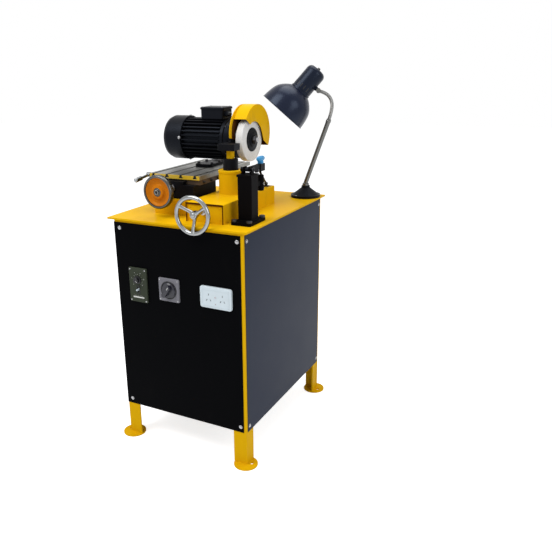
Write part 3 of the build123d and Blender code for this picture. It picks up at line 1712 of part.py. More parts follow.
def feed_rod():
    """Plunger on the cam, knuckle and push rod up to the lever, as one moving piece."""
    contact = cam_height + cam_base_radius + plunger_tip_gap
    length = knuckle_z - contact
    plunger = turned(
        [
            (0, 0),
            (plunger_point_radius, plunger_point_height),
            (plunger_radius, plunger_tip_height),
            (plunger_radius, length),
            (0, length),
        ],
        Vector(plunger_x, plunger_y, contact),
        upward,
    )
    low = Vector(plunger_x, plunger_y, knuckle_z)
    knuckle = Pos(*low) * Sphere(knuckle_radius)
    eye = Vector(rod_eye_x, rod_pin_y, rod_pin_z)
    span = eye + rightward * (rod_eye_width / 2) - low
    bar = rod(low, span, rod_radius, span.length - rod_eye_radius + rod_eye_sink)
    linkage = plunger + knuckle + bar + rod(eye, rightward, rod_eye_radius, rod_eye_width)
    hole_length = rod_eye_width + 2 * cut_over
    return linkage - rod(eye + leftward * cut_over, rightward, rod_pin_radius + rod_eye_gap, hole_length)


def cam_point(angle, radius):
    """Point of the cam's edge, with the angle counted back from the top."""
    turn = math.radians(90 - angle)
    return (radius * math.cos(turn), radius * math.sin(turn))


def feed_cam():
    """Constant-rise cam on the output shaft of the gear motor."""
    rise = []
    for index in range(cam_points):
        share = index / (cam_points - 1)
        rise.append(cam_point(share * cam_rise_degrees, cam_base_radius + share * cam_rise))
    rest = cam_point(-cam_rest_degrees, cam_base_radius)
    middle = cam_point(-cam_rest_degrees / 2, cam_base_radius)
    edge = Spline(*rise) + Line(rise[-1], rest) + ThreePointArc(rest, middle, rise[0])
    cam_end = plunger_x + cam_width / 2
    plane = Plane(origin=(cam_end - cam_width, plunger_y, cam_height), x_dir=(0, 1, 0), z_dir=(1, 0, 0))
    cam = extrude(plane * make_face(edge), cam_width)
    shaft_left = gear_motor_left + gear_motor_length - cam_shaft_sink
    shaft = Vector(shaft_left, plunger_y, cam_height)
    return cam + rod(shaft, rightward, cam_shaft_radius, cam_end - shaft_left)


def feed_motor():
    """Gear motor of the tooth feed, lying in the base box on a cradle foot."""
    start = Vector(gear_motor_left, plunger_y, cam_height)
    end = gear_motor_left + gear_motor_length
    body = rod(start, rightward, gear_motor_radius, gear_motor_length - gear_case_length)
    side = 2 * gear_motor_radius
    case = block((gear_case_left, end), about(plunger_y, side), about(cam_height, side))
    body += fillet(case.edges().filter_by(Axis.X), gear_case_corner)
    foot_x = (gear_motor_left + gear_foot_inset, end - gear_foot_inset)
    body += block(foot_x, about(plunger_y, side), (table_height, cam_height - gear_foot_drop))
    hole = Vector(end - cam_shaft_sink - sliding_gap, plunger_y, cam_height)
    return body - rod(hole, rightward, cam_shaft_radius + running_gap, cam_shaft_sink + cut_over)


def lamp_base():
    """Domed lamp foot with the socket of the tube."""
    rim = (lamp_base_step_radius, lamp_base_rim)
    crown = (lamp_boss_radius, lamp_base_height - lamp_boss_height)
    dome = Spline(rim, (lamp_base_dome_radius, lamp_base_dome_height), crown)
    boss = Polyline(crown, (lamp_boss_radius, lamp_base_height), (0, lamp_base_height), (0, 0))
    foot = Polyline((0, 0), (lamp_base_radius, 0), (lamp_base_radius, lamp_base_rim), rim)
    base = spun(make_face(dome + boss + foot), Vector(lamp_x, lamp_y, table_height), upward)
    depth = lamp_pin_depth + sliding_gap
    return base - rod(lamp_seat - upward * depth, upward, lamp_tube_radius + running_gap, depth + cut_over)


def lamp_arm():
    """Straight tube with a collar and a pin that turns in the lamp foot."""
    arm = turned(
        [
            (0, 0),
            (lamp_collar_radius, 0),
            (lamp_collar_radius, lamp_collar_height - lamp_collar_edge),
            (lamp_tube_radius, lamp_collar_height),
            (0, lamp_collar_height),
        ],
        lamp_seat,
        upward,
    )
    arm += rod(lamp_seat - upward * lamp_pin_depth, upward, lamp_tube_radius, lamp_pin_depth + cut_over)
    arm += Pos(*lamp_tube_foot) * Sphere(lamp_tube_radius)
    span = lamp_tube_top - lamp_tube_foot
    return arm + rod(lamp_tube_foot, span, lamp_tube_radius, span.length)


def lamp_frame(height):
    """Plane across the lamp head's axis, a height above the rim, facing away from the light."""
    aim = lamp_aim.normalized()
    side = (lamp_side_hint - aim * lamp_side_hint.dot(aim)).normalized()
    crossing = lamp_neck_end - side * lamp_axis_offset
    return Plane(origin=crossing + aim * (lamp_rim_to_neck - height), x_dir=side, z_dir=aim * -1)


def lamp_gooseneck():
    """Bent flexible neck between the tube and the lamp head, with the tilt knuckle."""
    along = (lamp_tube_top - lamp_tube_foot).normalized()
    start = lamp_tube_top + along * (lamp_ferrule_length - cut_over)
    path = FilletPolyline(start, *lamp_neck_points, radius=lamp_neck_bend)
    neck = sweep(Plane(origin=start, z_dir=path % 0) * Circle(lamp_neck_radius), path)
    neck += rod(lamp_tube_top, along, lamp_tube_radius - lamp_ferrule_step, lamp_ferrule_length)
    swing = lamp_frame(0).y_dir
    knuckle = lamp_neck_end - swing * (lamp_knuckle_width / 2)
    return neck + rod(knuckle, swing, lamp_knuckle_radius, lamp_knuckle_width)


def shade_points(inset):
    """Points of the shade's side from rim to top, moved inwards by an inset."""
    return [
        (shade_rim_radius - inset, 0),
        (shade_lip_radius - inset, shade_lip_height),
        (shade_waist_radius - inset, shade_waist_height),
        (shade_shoulder_radius - inset, shade_shoulder_height - inset),
        (shade_crown_radius - inset, shade_crown_height - inset),
        (shade_top_radius - inset, shade_depth - inset),
    ]


def lamp_shade():
    """Spun bell shade, open at the rim."""
    outer = shade_points(0)
    inner = shade_points(shade_sheet)
    hole = bulb_neck_radius + loose_gap
    top = Polyline(outer[-1], (hole, shade_depth), (hole, shade_depth - shade_sheet), inner[-1])
    wall = make_face(Spline(*outer) + top + Spline(*inner) + Line(inner[0], outer[0]))
    return lamp_frame(0) * revolve(Plane.XZ * wall, Axis.Z)


def lamp_socket():
    """Round socket housing behind the shade, with the boss of the tilt knuckle."""
    origin = Vector(0, 0, 0)
    body = rod(origin, upward, socket_radius, socket_length)
    body = fillet(body.edges().sort_by(Axis.Z)[-1], socket_round)
    body += rod(origin, upward, socket_radius + socket_ring_over, socket_ring)
    reach = lamp_axis_offset - lamp_knuckle_radius - sliding_gap
    boss = Vector(0, 0, lamp_rim_to_neck - shade_depth)
    body += rod(boss, rightward, lamp_knuckle_radius, reach)
    body -= rod(origin - upward * cut_over, upward, bulb_neck_radius, socket_bore_depth + cut_over)
    return lamp_frame(shade_depth) * body


def lamp_bulb():
    """Bulb with its cap in the socket."""
    centre = Vector(0, 0, shade_depth - bulb_from_top)
    cap_radius = bulb_neck_radius - running_gap
    cap = rod(centre, upward, cap_radius, bulb_from_top + bulb_cap_depth)
    return lamp_frame(0) * (Pos(*centre) * Sphere(bulb_radius) + cap)


nodes = [
    frame_legs,
    foot_discs,
    frame_rails,
    front_panel,
    side_panels,
    rear_panel,
    panel_screws,
    table_top,
    speed_control,
    speed_knob,
    run_switch,
    main_switch,
    main_switch_knob,
    socket_outlet,
    base_box,
    box_cover,
    column_sleeve,
    ram,
    lift_shaft,
    lift_screw,
    lift_handwheel,
    swivel_neck,
    head_bracket,
    motor_housing,
    end_shields,
    motor_bearings,
    stator_core,
    motor_shaft,
    cooling_fan,
    fan_cover,
    terminal_box,
    wheel_flanges,
    grinding_wheel,
    wheel_guard,
    slide_pedestal,
    slide_base,
    table_saddle,
    slide_table,
    slide_screw,
    slide_handwheel,
    clamp_lever,
    arbor_base,
    blade_arbor,
    arbor_nut,
    feed_post,
    post_head,
    pawl_lever,
    feed_pawl,
    stroke_knob,
    lever_buffer,
    feed_rod,
    feed_cam,
    feed_motor,
    hold_down_bolts,
    lamp_base,
    lamp_arm,
    lamp_gooseneck,
    lamp_shade,
    lamp_socket,
    lamp_bulb,
]

os.makedirs("parts", exist_ok=True)
for make in nodes:
    export_step(make(), f"parts/{make.__name__}.step")
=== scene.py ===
"""Looks of a circular saw blade sharpener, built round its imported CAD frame.

Objects are in metres in the frame of the CAD part: X to the operator's right, Y to the rear, Z up.
Sizes in the classes are in millimetres, apart from the stage and the limits of painted areas.
"""

from __future__ import annotations

import json
import logging
import math
from dataclasses import dataclass, field, replace
from enum import Enum
from itertools import product
from typing import Any, ClassVar, Iterable, Sequence

import bmesh
import bpy
from mathutils import Matrix, Vector

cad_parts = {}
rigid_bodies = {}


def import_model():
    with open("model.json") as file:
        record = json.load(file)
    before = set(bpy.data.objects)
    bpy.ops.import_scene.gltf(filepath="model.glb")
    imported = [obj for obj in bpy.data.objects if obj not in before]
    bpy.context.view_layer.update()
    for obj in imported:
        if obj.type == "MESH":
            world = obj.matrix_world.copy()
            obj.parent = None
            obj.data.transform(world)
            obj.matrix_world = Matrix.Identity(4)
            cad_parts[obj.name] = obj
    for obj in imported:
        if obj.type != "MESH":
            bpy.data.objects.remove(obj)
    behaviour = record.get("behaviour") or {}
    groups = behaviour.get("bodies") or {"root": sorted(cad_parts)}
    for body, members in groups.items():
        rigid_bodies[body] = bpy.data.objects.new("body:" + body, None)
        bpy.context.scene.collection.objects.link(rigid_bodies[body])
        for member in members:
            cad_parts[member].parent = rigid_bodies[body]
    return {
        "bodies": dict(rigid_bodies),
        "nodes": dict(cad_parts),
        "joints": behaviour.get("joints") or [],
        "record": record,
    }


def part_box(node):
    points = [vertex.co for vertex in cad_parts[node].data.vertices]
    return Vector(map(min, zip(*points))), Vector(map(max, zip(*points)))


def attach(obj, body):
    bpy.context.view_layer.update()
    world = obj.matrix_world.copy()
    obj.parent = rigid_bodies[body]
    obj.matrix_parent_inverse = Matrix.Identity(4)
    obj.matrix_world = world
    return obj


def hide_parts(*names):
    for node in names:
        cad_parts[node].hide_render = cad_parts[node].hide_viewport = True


LOG = logging.getLogger("sharpener")
MM = 0.001
MERGE = 0.004 * MM
NEAR_PARALLEL = 0.98
RIGHT = Vector((1.0, 0.0, 0.0))
REAR = Vector((0.0, 1.0, 0.0))
UP = Vector((0.0, 0.0, 1.0))
FRONT = -REAR
SIDES = (-1, 1)
Colour = tuple[float, float, float]
Point = tuple[float, float, float]
Pair = tuple[float, float]
Row = tuple[float, ...]
Profile = Sequence[Pair]
Inputs = dict[Any, Any]

# Numbers of the colour sockets of a Mix node
MIX_FIRST = 6
MIX_SECOND = 7
MIX_RESULT = 2


class Grain(Enum):
    """Direction in which a metal was worked, as noise scales along X, Y and Z."""

    ALONG_Y = (1.0, 0.03, 1.0)
    ALONG_Z = (1.0, 1.0, 0.03)
    NONE = (1.0, 1.0, 1.0)


class Value:
    """A shader socket that takes part in Python arithmetic."""

    def __init__(self, graph: Graph, socket: bpy.types.NodeSocket) -> None:
        """Keep the socket and the graph that it belongs to."""
        self.graph = graph
        self.socket = socket

    def combine(self, operation: str, first: Any, second: Any) -> Value:
        """Result of a Math node on two operands."""
        return self.graph.value("ShaderNodeMath", 0, {0: first, 1: second}, operation=operation)

    def larger(self, other: Any) -> Value:
        """Larger of the two."""
        return self.combine("MAXIMUM", self, other)

    def __add__(self, other: Any) -> Value:
        """Sum of the two."""
        return self.combine("ADD", self, other)

    def __radd__(self, other: Any) -> Value:
        """Sum of the two, reflected."""
        return self.combine("ADD", other, self)

    def __sub__(self, other: Any) -> Value:
        """Difference of the two."""
        return self.combine("SUBTRACT", self, other)

    def __rsub__(self, other: Any) -> Value:
        """Difference of the two, reflected."""
        return self.combine("SUBTRACT", other, self)

    def __mul__(self, other: Any) -> Value:
        """Product of the two."""
        return self.combine("MULTIPLY", self, other)

    def __rmul__(self, other: Any) -> Value:
        """Product of the two, reflected."""
        return self.combine("MULTIPLY", other, self)

    def __pow__(self, other: float) -> Value:
        """Power of the value."""
        return self.combine("POWER", self, other)

    def __lt__(self, other: Any) -> Value:
        """One where the value is under the other."""
        return self.combine("LESS_THAN", self, other)

    def __gt__(self, other: Any) -> Value:
        """One where the value is over the other."""
        return self.combine("GREATER_THAN", self, other)


class Graph:
    """Node tree of one material or of the world."""

    def __init__(self, owner: bpy.types.Material | bpy.types.World) -> None:
        """Start with an empty tree.

        Args:
            owner: Material or world that the tree belongs to.
        """
        self.owner = owner
        owner.use_nodes = True
        self.tree = owner.node_tree
        self.tree.nodes.clear()

    def node(self, kind: str, inputs: Inputs | None = None, **settings: Any) -> bpy.types.Node:
        """Add any node.

        Args:
            kind: Type name of the node.
            inputs: Values or links by socket name or number.
            **settings: Properties, which are set first.

        Returns:
            The new node.
        """
        made = self.tree.nodes.new(kind)
        for name, setting in settings.items():
            setattr(made, name, setting)
        for name, value in (inputs or {}).items():
            self.feed(made.inputs[name], value)
        return made

    def feed(self, socket: bpy.types.NodeSocket, value: Any) -> None:
        """Link or set one input.

        Args:
            socket: The input.
            value: A Value, a socket, a colour or a number.
        """
        if isinstance(value, Value):
            value = value.socket
        if isinstance(value, bpy.types.NodeSocket):
            self.tree.links.new(value, socket)
        elif socket.type == "RGBA" and len(value) == 3:
            socket.default_value = (*value, 1.0)
        else:
            socket.default_value = value

    def value(self, kind: str, output: str | int, inputs: Inputs, **settings: Any) -> Value:
        """One output of a new node, ready for arithmetic."""
        return Value(self, self.node(kind, inputs, **settings).outputs[output])

    def place(self, scale: Sequence[float] = (1, 1, 1)) -> bpy.types.NodeSocket:
        """Object coordinates, scaled along each axis."""
        source = self.node("ShaderNodeTexCoord").outputs["Object"]
        return self.node("ShaderNodeMapping", {"Vector": source, "Scale": scale}).outputs[0]

    def noise(self, scale: float, detail: float, stretch: Sequence[float] = (1, 1, 1)) -> Value:
        """Noise about one half, with its scale per metre, its octaves and its stretch along the axes."""
        inputs = {"Vector": self.place(stretch), "Scale": scale, "Detail": detail, "Roughness": 0.6}
        return self.value("ShaderNodeTexNoise", "Fac", inputs)

    def axis(self, name: str) -> Value:
        """Object coordinate X, Y or Z, in metres."""
        return self.value("ShaderNodeSeparateXYZ", name, {0: self.place()})

    def band(self, value: Value, low: float, high: float) -> Value:
        """Value that rises from 0 at the low limit to 1 at the high one."""
        inputs = {"Value": value, "From Min": low, "From Max": high}
        return self.value("ShaderNodeMapRange", 0, inputs, clamp=True, interpolation_type="SMOOTHSTEP")

    def mix(self, first: Any, second: Any, factor: Any) -> bpy.types.NodeSocket:
        """Mix of two colours, by the share of the second."""
        inputs = {0: factor, MIX_FIRST: first, MIX_SECOND: second}
        return self.node("ShaderNodeMix", inputs, data_type="RGBA").outputs[MIX_RESULT]

    def bump(self, height: Value, strength: float, depth: float) -> bpy.types.NodeSocket:
        """Normal bumped by a height pattern, with its depth in metres."""
        inputs = {"Height": height, "Strength": strength, "Distance": depth}
        return self.node("ShaderNodeBump", inputs).outputs[0]

    def blend(self, factor: Value, first: bpy.types.Node, second: bpy.types.Node) -> bpy.types.Node:
        """Mix of two shaders, by the share of the second."""
        return self.node("ShaderNodeMixShader", {0: factor, 1: first.outputs[0], 2: second.outputs[0]})

    def close(self, kind: str, shader: bpy.types.Node) -> None:
        """End the tree with an output node."""
        self.node(kind, {"Surface": shader.outputs[0]})


def shade(colour: Colour, factor: float) -> Colour:
    """Colour made darker or lighter, kept within 1."""
    return tuple(min(1.0, part * factor) for part in colour)


@dataclass(frozen=True)
class Slab:
    """Part of a node that lies below a limit on one axis, in metres."""

    axis: str
    below: float

    def mask(self, graph: Graph) -> Value:
        """One inside the part."""
        return graph.axis(self.axis) < self.below


@dataclass(frozen=True)
class Drum:
    """Inside of a round guard that lies along X, in metres, where shade is painted."""

    left: float
    right: float
    centre: Pair
    radius: float

    def mask(self, graph: Graph) -> Value:
        """One inside the drum.

        Args:
            graph: Tree that takes the nodes.

        Returns:
            The mask.
        """
        x = graph.axis("X")
        across = (graph.axis("Y") - self.centre[0]) ** 2.0 + (graph.axis("Z") - self.centre[1]) ** 2.0
        return (x > self.left) * (x < self.right) * (across < self.radius**2)


@dataclass(frozen=True)
class Finish:
    """A named surface, which says what feeds its shader."""

    name: str
    colour: Colour

    def inputs(self, graph: Graph) -> Inputs:
        """Values and links of the shader's sockets; each kind of finish has its own."""
        raise NotImplementedError

    def tone(self, graph: Graph, dark: float, light: float, factor: Value) -> bpy.types.NodeSocket:
        """The colour, between a darker and a lighter shade of itself."""
        return graph.mix(shade(self.colour, dark), shade(self.colour, light), factor)

    def make(self) -> bpy.types.Material:
        """Build the material.

        Returns:
            The finished material.
        """
        graph = Graph(bpy.data.materials.new(self.name))
        shader = graph.node("ShaderNodeBsdfPrincipled", self.inputs(graph))
        graph.close("ShaderNodeOutputMaterial", shader)
        return graph.owner


@dataclass(frozen=True)
class Paint(Finish):
    """Sprayed paint with a little orange peel, uneven gloss, workshop grime and, where a patch is given,
    painted shade.
    """

    roughness: float = 0.3
    specular: float = 0.3
    tint: Colour = (1.0, 1.0, 1.0)
    peel: float = 0.12
    grime: float = 0.15
    grime_colour: Colour = (0.09, 0.07, 0.045)
    patch: Slab | Drum | None = None
    patch_colour: Colour = (0.0, 0.0, 0.0)

    def inputs(self, graph: Graph) -> Inputs:
        """What feeds the shader.

        Args:
            graph: Tree that takes the nodes.

        Returns:
            Values and links by socket name.
        """
        cloud = graph.noise(scale=7.0, detail=4.0)
        smear = graph.band(graph.noise(scale=22.0, detail=6.0, stretch=(1.0, 1.0, 0.35)), 0.54, 0.78)
        speck = graph.band(graph.noise(scale=340.0, detail=2.0), 0.7, 0.78)
        dirt = smear * self.grime + speck * (self.grime * 0.6)
        base = self.tone(graph, 0.92, 1.07, cloud)
        # On this paint a patch is painted shade: the dark rim of the base box and the dark inside of the
        # guard.
        if self.patch:
            base = graph.mix(base, self.patch_colour, self.patch.mask(graph))
        return {
            "Base Color": graph.mix(base, self.grime_colour, dirt),
            "Roughness": (cloud - 0.5) * 0.14 + dirt * 0.5 + self.roughness,
            "Specular IOR Level": self.specular,
            "Specular Tint": self.tint,
            "Normal": graph.bump(graph.noise(scale=900.0, detail=2.0), self.peel, depth=0.0004),
        }


@dataclass(frozen=True)
class Metal(Finish):
    """Bare metal with the marks of the tool that worked it, a little tarnish and a painted end if any."""

    roughness: float = 0.3
    grain: Grain = Grain.NONE
    streak: float = 0.25
    tarnish: float = 0.2
    tarnish_colour: Colour = (0.16, 0.12, 0.08)
    patch: Slab | Drum | None = None
    patch_colour: Colour = (0.0, 0.0, 0.0)

    def inputs(self, graph: Graph) -> Inputs:
        """What feeds the shader.

        Args:
            graph: Tree that takes the nodes.

        Returns:
            Values and links by socket name.
        """
        lay = graph.noise(scale=1400.0, detail=3.0, stretch=self.grain.value)
        stain = graph.band(graph.noise(scale=16.0, detail=5.0), 0.5, 0.8) * self.tarnish
        colour = graph.mix(self.tone(graph, 0.84, 1.1, lay), self.tarnish_colour, stain)
        bare: Any = 1.0
        if self.patch:
            painted = self.patch.mask(graph)
            colour = graph.mix(colour, self.patch_colour, painted)
            bare = 1.0 - painted
        return {
            "Base Color": colour,
            "Metallic": bare,
            "Roughness": (lay - 0.5) * self.streak + stain * 0.5 + self.roughness,
            "Normal": graph.bump(lay, strength=0.12, depth=0.0002),
        }


@dataclass(frozen=True)
class Plastic(Finish):
    """Moulded plastic with a fine spark-eroded texture."""

    roughness: float = 0.4
    specular: float = 0.4
    texture: float = 0.15

    def inputs(self, graph: Graph) -> Inputs:
        """What feeds the shader.

        Args:
            graph: Tree that takes the nodes.

        Returns:
            Values and links by socket name.
        """
        fine = graph.noise(scale=2200.0, detail=2.0)
        cloud = graph.noise(scale=30.0, detail=4.0)
        return {
            "Base Color": self.tone(graph, 0.92, 1.06, cloud),
            "Roughness": (fine - 0.5) * 0.2 + (cloud - 0.5) * 0.1 + self.roughness,
            "Specular IOR Level": self.specular,
            "Normal": graph.bump(fine, self.texture, depth=0.0002),
        }


@dataclass(frozen=True)
class Abrasive(Finish):
    """Bonded abrasive: pale grains and pores."""

    colour: Colour = (0.88, 0.87, 0.85)

    def inputs(self, graph: Graph) -> Inputs:
        """What feeds the shader.

        Args:
            graph: Tree that takes the nodes.

        Returns:
            Values and links by socket name.
        """
        grains = {"Vector": graph.place(), "Scale": 1300.0}
        cell = graph.value("ShaderNodeTexVoronoi", "Distance", grains, feature="F1")
        pore = graph.band(cell, 0.42, 0.75)
        dull = graph.band(graph.noise(scale=45.0, detail=5.0), 0.5, 0.8)
        return {
            "Base Color": graph.mix(self.tone(graph, 1.0, 0.72, pore), shade(self.colour, 0.84), dull),
            "Roughness": pore * 0.1 + 0.78,
            "Specular IOR Level": 0.2,
            "Normal": graph.bump(cell, strength=0.5, depth=0.0005),
        }


@dataclass(frozen=True)
class Frosted(Finish):
    """Frosted bulb glass, a little milky."""

    colour: Colour = (0.92, 0.91, 0.88)

    def inputs(self, graph: Graph) -> Inputs:
        """What feeds the shader.

        Args:
            graph: Tree that takes the nodes.

        Returns:
            Values and links by socket name.
        """
        cloud = graph.noise(scale=60.0, detail=3.0)
        return {
            "Base Color": self.tone(graph, 0.95, 1.0, cloud),
            "Roughness": (cloud - 0.5) * 0.1 + 0.22,
            "Transmission Weight": 0.25,
            "IOR": 1.45,
        }


WHITE: Colour = (1.0, 1.0, 1.0)
WARM: Colour = (1.0, 0.78, 0.3)
COOL: Colour = (0.62, 0.76, 1.0)
ROSE: Colour = (1.0, 0.9, 0.92)
SAND: Colour = (1.0, 0.95, 0.9)
DUST: Colour = (0.045, 0.04, 0.036)

YELLOW = Paint("yellow_paint", (0.78, 0.44, 0.004), 0.34, 0.012, WARM, 0.1, 0.08)
# The dark brown on the front rim of the base box's walls is a painted shadow of the recessed cover's seam.
BOX_YELLOW_RIM_SHADE = replace(YELLOW, name="box_paint_painted_rim_shade", patch=Slab("Y", -0.2643), patch_colour=(0.07, 0.022, 0.004))
# The dark brown inside the guard's drum is painted shade.
GUARD_YELLOW_INNER_SHADE = replace(
    YELLOW, name="guard_paint_painted_inner_shade", roughness=0.36, specular=0.04, grime=0.14,
    patch=Drum(0.0672, 0.1166, (0.046, 1.095), 0.0978), patch_colour=(0.1, 0.035, 0.008),
)
BLACK_SHEET = Paint("black_sheet_paint", (0.0022, 0.0021, 0.0023), 0.36, 0.014, COOL, 0.08, 0.02, DUST)
# The side panels are the same black sheet as the front ones; their lighter, bluer colour is a painted
# reflection of the surroundings.
SIDE_SHEET_REFLECTION = Paint("side_sheet_painted_reflection", (0.007, 0.012, 0.03), 0.34, 0.055, COOL, 0.08, 0.02, DUST)
BLACK_CAST = Paint("black_casting_paint", (0.005, 0.0047, 0.0052), 0.42, 0.08, COOL, 0.35, 0.03, DUST)
BLACK_MOTOR = Paint("motor_black_paint", (0.0045, 0.0045, 0.006), 0.36, 0.1, COOL, 0.22, 0.03, DUST)
POST_BLACK = Paint("post_black_paint", (0.0024, 0.0021, 0.0024), 0.45, 0.025, ROSE, 0.2, 0.015, DUST)
LAMP_BLACK = Paint("lamp_enamel", (0.0075, 0.0095, 0.0225), 0.26, 0.24, COOL, 0.08, 0.02, DUST)
SOCKET_BLACK = Paint("lamp_socket_enamel", (0.006, 0.008, 0.017), 0.28, 0.18, COOL, 0.08, 0.02, DUST)
LINER = Paint("shade_liner_enamel", (0.8, 0.8, 0.78), 0.4, 0.3, WHITE, 0.08, 0.05)
ORANGE = Paint("orange_paint", (0.57, 0.17, 0.004), 0.36, 0.16, WARM, 0.15, 0.12)
SADDLE_GREY = Paint("saddle_grey_paint", (0.085, 0.06, 0.04), 0.42, 0.25, SAND, 0.3, 0.2)
RUBBER = Paint("rubber_pad", (0.02, 0.02, 0.021), 0.8, 0.1, WHITE, 0.5, 0.1, DUST)
STEEL = Metal("steel_turned", (0.5, 0.5, 0.51), 0.28, Grain.NONE, 0.2, 0.15)
BRIGHT = Metal("zinc_plate", (0.42, 0.42, 0.43), 0.26, Grain.NONE, 0.16, 0.1)
DARK_STEEL = Metal("blackened_steel", (0.05, 0.05, 0.055), 0.36, Grain.NONE, 0.2, 0.15)
TABLE_STEEL = Metal(
    "ground_table_steel", (0.26, 0.26, 0.24), 0.38, Grain.ALONG_Y, 0.3, 0.3,
    patch=Slab("Y", -0.1693), patch_colour=(0.62, 0.42, 0.02),
)
CHROME = Metal("chrome_plate", (0.29, 0.3, 0.305), 0.1, Grain.NONE, 0.05, 0.06)
WORN_CHROME = Metal("worn_chrome_plate", (0.095, 0.096, 0.093), 0.24, Grain.NONE, 0.1, 0.2)
TUBE_NICKEL = Metal("lamp_tube_nickel", (0.13, 0.13, 0.125), 0.32, Grain.ALONG_Z, 0.2, 0.1)
NICKEL = Metal("lamp_neck_nickel", (0.2, 0.2, 0.195), 0.34, Grain.NONE, 0.1, 0.1)
COPPER = Metal("winding_copper", (0.45, 0.2, 0.09), 0.35, Grain.NONE, 0.2, 0.2)
ABRASIVE = Abrasive("white_abrasive")
OLIVE = Plastic("olive_plate", (0.042, 0.05, 0.034), 0.45, 0.06)
GREY_PLATE = Plastic("grey_plate", (0.2, 0.197, 0.22), 0.42, 0.08)
BLACK_PLASTIC = Plastic("black_plastic", (0.006, 0.006, 0.008), 0.3, 0.35, 0.1)
NAVY_PLASTIC = Plastic("dark_knob_plastic", (0.008, 0.008, 0.018), 0.3, 0.5, 0.1)
WHITE_PLASTIC = Plastic("white_plastic", (0.66, 0.75, 0.8), 0.32, 0.4, 0.08)
BLUE_PLASTIC = Plastic("blue_plastic", (0.035, 0.27, 0.55), 0.34, 0.4, 0.08)
MARKING = Plastic("marking_ink", (0.7, 0.7, 0.67), 0.5, 0.2, 0.05)
# Dark ink for printed marks, also used as painted shade in the socket's pin slots, the handwheel bolt's
# recess and the flange's spanner holes.
DARK_INK_AND_SHADE = Plastic("dark_ink_and_painted_shade", (0.015, 0.015, 0.015), 0.5, 0.2, 0.05)
BULB = Frosted("bulb_glass")


def mm(*numbers: float) -> Vector:
    """Point given in millimetres."""
    return Vector(numbers) * MM


def corners(node: str) -> list[Vector]:
    """Lowest and highest corner of a CAD node, in millimetres."""
    return [Vector(corner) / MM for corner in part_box(node)]


def ends(low: float, high: float, inset: float) -> Pair:
    """Two places inside a span, equally far from its ends."""
    return low + inset, high - inset


def swung(first: Vector, second: Vector, degrees: float) -> Vector:
    """Direction that starts along the first vector and turns towards the second."""
    angle = math.radians(degrees)
    return first * math.cos(angle) + second * math.sin(angle)


def stand(origin: Sequence[float], axis: Sequence[float], side: Sequence[float] = UP) -> Matrix:
    """Place with its Z along an axis.

    Args:
        origin: Where the place is.
        axis: Direction of its Z.
        side: Rough direction of its X.

    Returns:
        The matrix of the place.
    """
    along = Vector(axis).normalized()
    hint = Vector(side)
    if abs(along.dot(hint)) > NEAR_PARALLEL:
        hint = RIGHT
    across = (hint - along * along.dot(hint)).normalized()
    basis = Matrix((across, along.cross(across), along)).transposed()
    return Matrix.Translation(origin) @ basis.to_4x4()


def raised(place: Matrix, height: float) -> Matrix:
    """Place moved along its own Z by a number of millimetres."""
    return place @ Matrix.Translation((0, 0, height * MM))


def circle(middle: float, height: float, radius: float, steps: int) -> list[Pair]:
    """Round section whose middle lies at a distance from the axis and at a height."""
    turns = [math.tau * step / steps for step in range(steps)]
    return [(middle + radius * math.cos(turn), height + radius * math.sin(turn)) for turn in turns]


def spun(profile: Profile, steps: int, ring: bool = False) -> bmesh.types.BMesh:
    """Mesh of a profile spun about Z.

    Args:
        profile: Radius and height of each point.
        steps: Faces round the axis.
        ring: Whether the profile closes on itself.

    Returns:
        The mesh, whose doubles are still to be merged.
    """
    part = bmesh.new()
    points = [part.verts.new((radius * MM, 0.0, height * MM)) for radius, height in profile]
    others = points[1:] + points[:1] if ring else points[1:]
    lines = [part.edges.new(pair) for pair in zip(points, others)]
    bmesh.ops.spin(
        part, geom=points + lines, cent=(0, 0, 0), axis=UP, angle=math.tau, steps=steps, use_merge=True
    )
    return part


def bevelled(part: bmesh.types.BMesh, edges: list[bmesh.types.BMEdge], width: float, segments: int) -> None:
    """Round some edges of a mesh.

    Args:
        part: The mesh.
        edges: Its edges.
        width: Width of the rounding.
        segments: Steps of each edge.
    """
    bmesh.ops.bevel(
        part, geom=edges, offset=width * MM, offset_type="OFFSET", affect="EDGES",
        segments=segments, profile=0.5, material=-1, clamp_overlap=True,
    )


@dataclass(frozen=True)
class Screw:
    """Sizes of a slotted round head; its outline is given as shares of them."""

    radius: float
    height: float
    slot: float

    outline: ClassVar[Profile] = ((0, 0), (1, 0), (1, 0.25), (0.86, 0.7), (0.55, 0.95), (0, 1))
    core: ClassVar[Profile] = ((0, 0), (0.9, 0), (0.9, 0.55), (0, 0.55))
    steps: ClassVar[int] = 20

    def sized(self, shares: Profile) -> Profile:
        """Profile at the screw's size."""
        return [(self.radius * across, self.height * up) for across, up in shares]


@dataclass(frozen=True)
class Hexagon:
    """Sizes of a hexagon head, with the radius of the washer under it or 0 for none.

    The cap on its top is given by shares of the width and heights above the top.
    """

    across: float
    height: float
    washer: float = 0.0

    washer_height: ClassVar[float] = 1.6
    edge_share: ClassVar[float] = 0.06
    cap: ClassVar[Profile] = ((0, -0.5), (0.42, -0.5), (0.4032, 0.3), (0, 0.3))


@dataclass(frozen=True)
class Nut:
    """Sizes of a hexagon, with the width of its broken edges."""

    across: float
    height: float
    soft: float


@dataclass(frozen=True)
class Thread:
    """Sizes of a threaded stud, with the length of it that stays inside its nut."""

    radius: float
    length: float
    pitch: float
    steps: int
    sunk: float


@dataclass(frozen=True)
class Stroke:
    """Sizes of a printed or moulded stroke, with the rounding of its edges."""

    length: float
    width: float
    thick: float
    soft: float


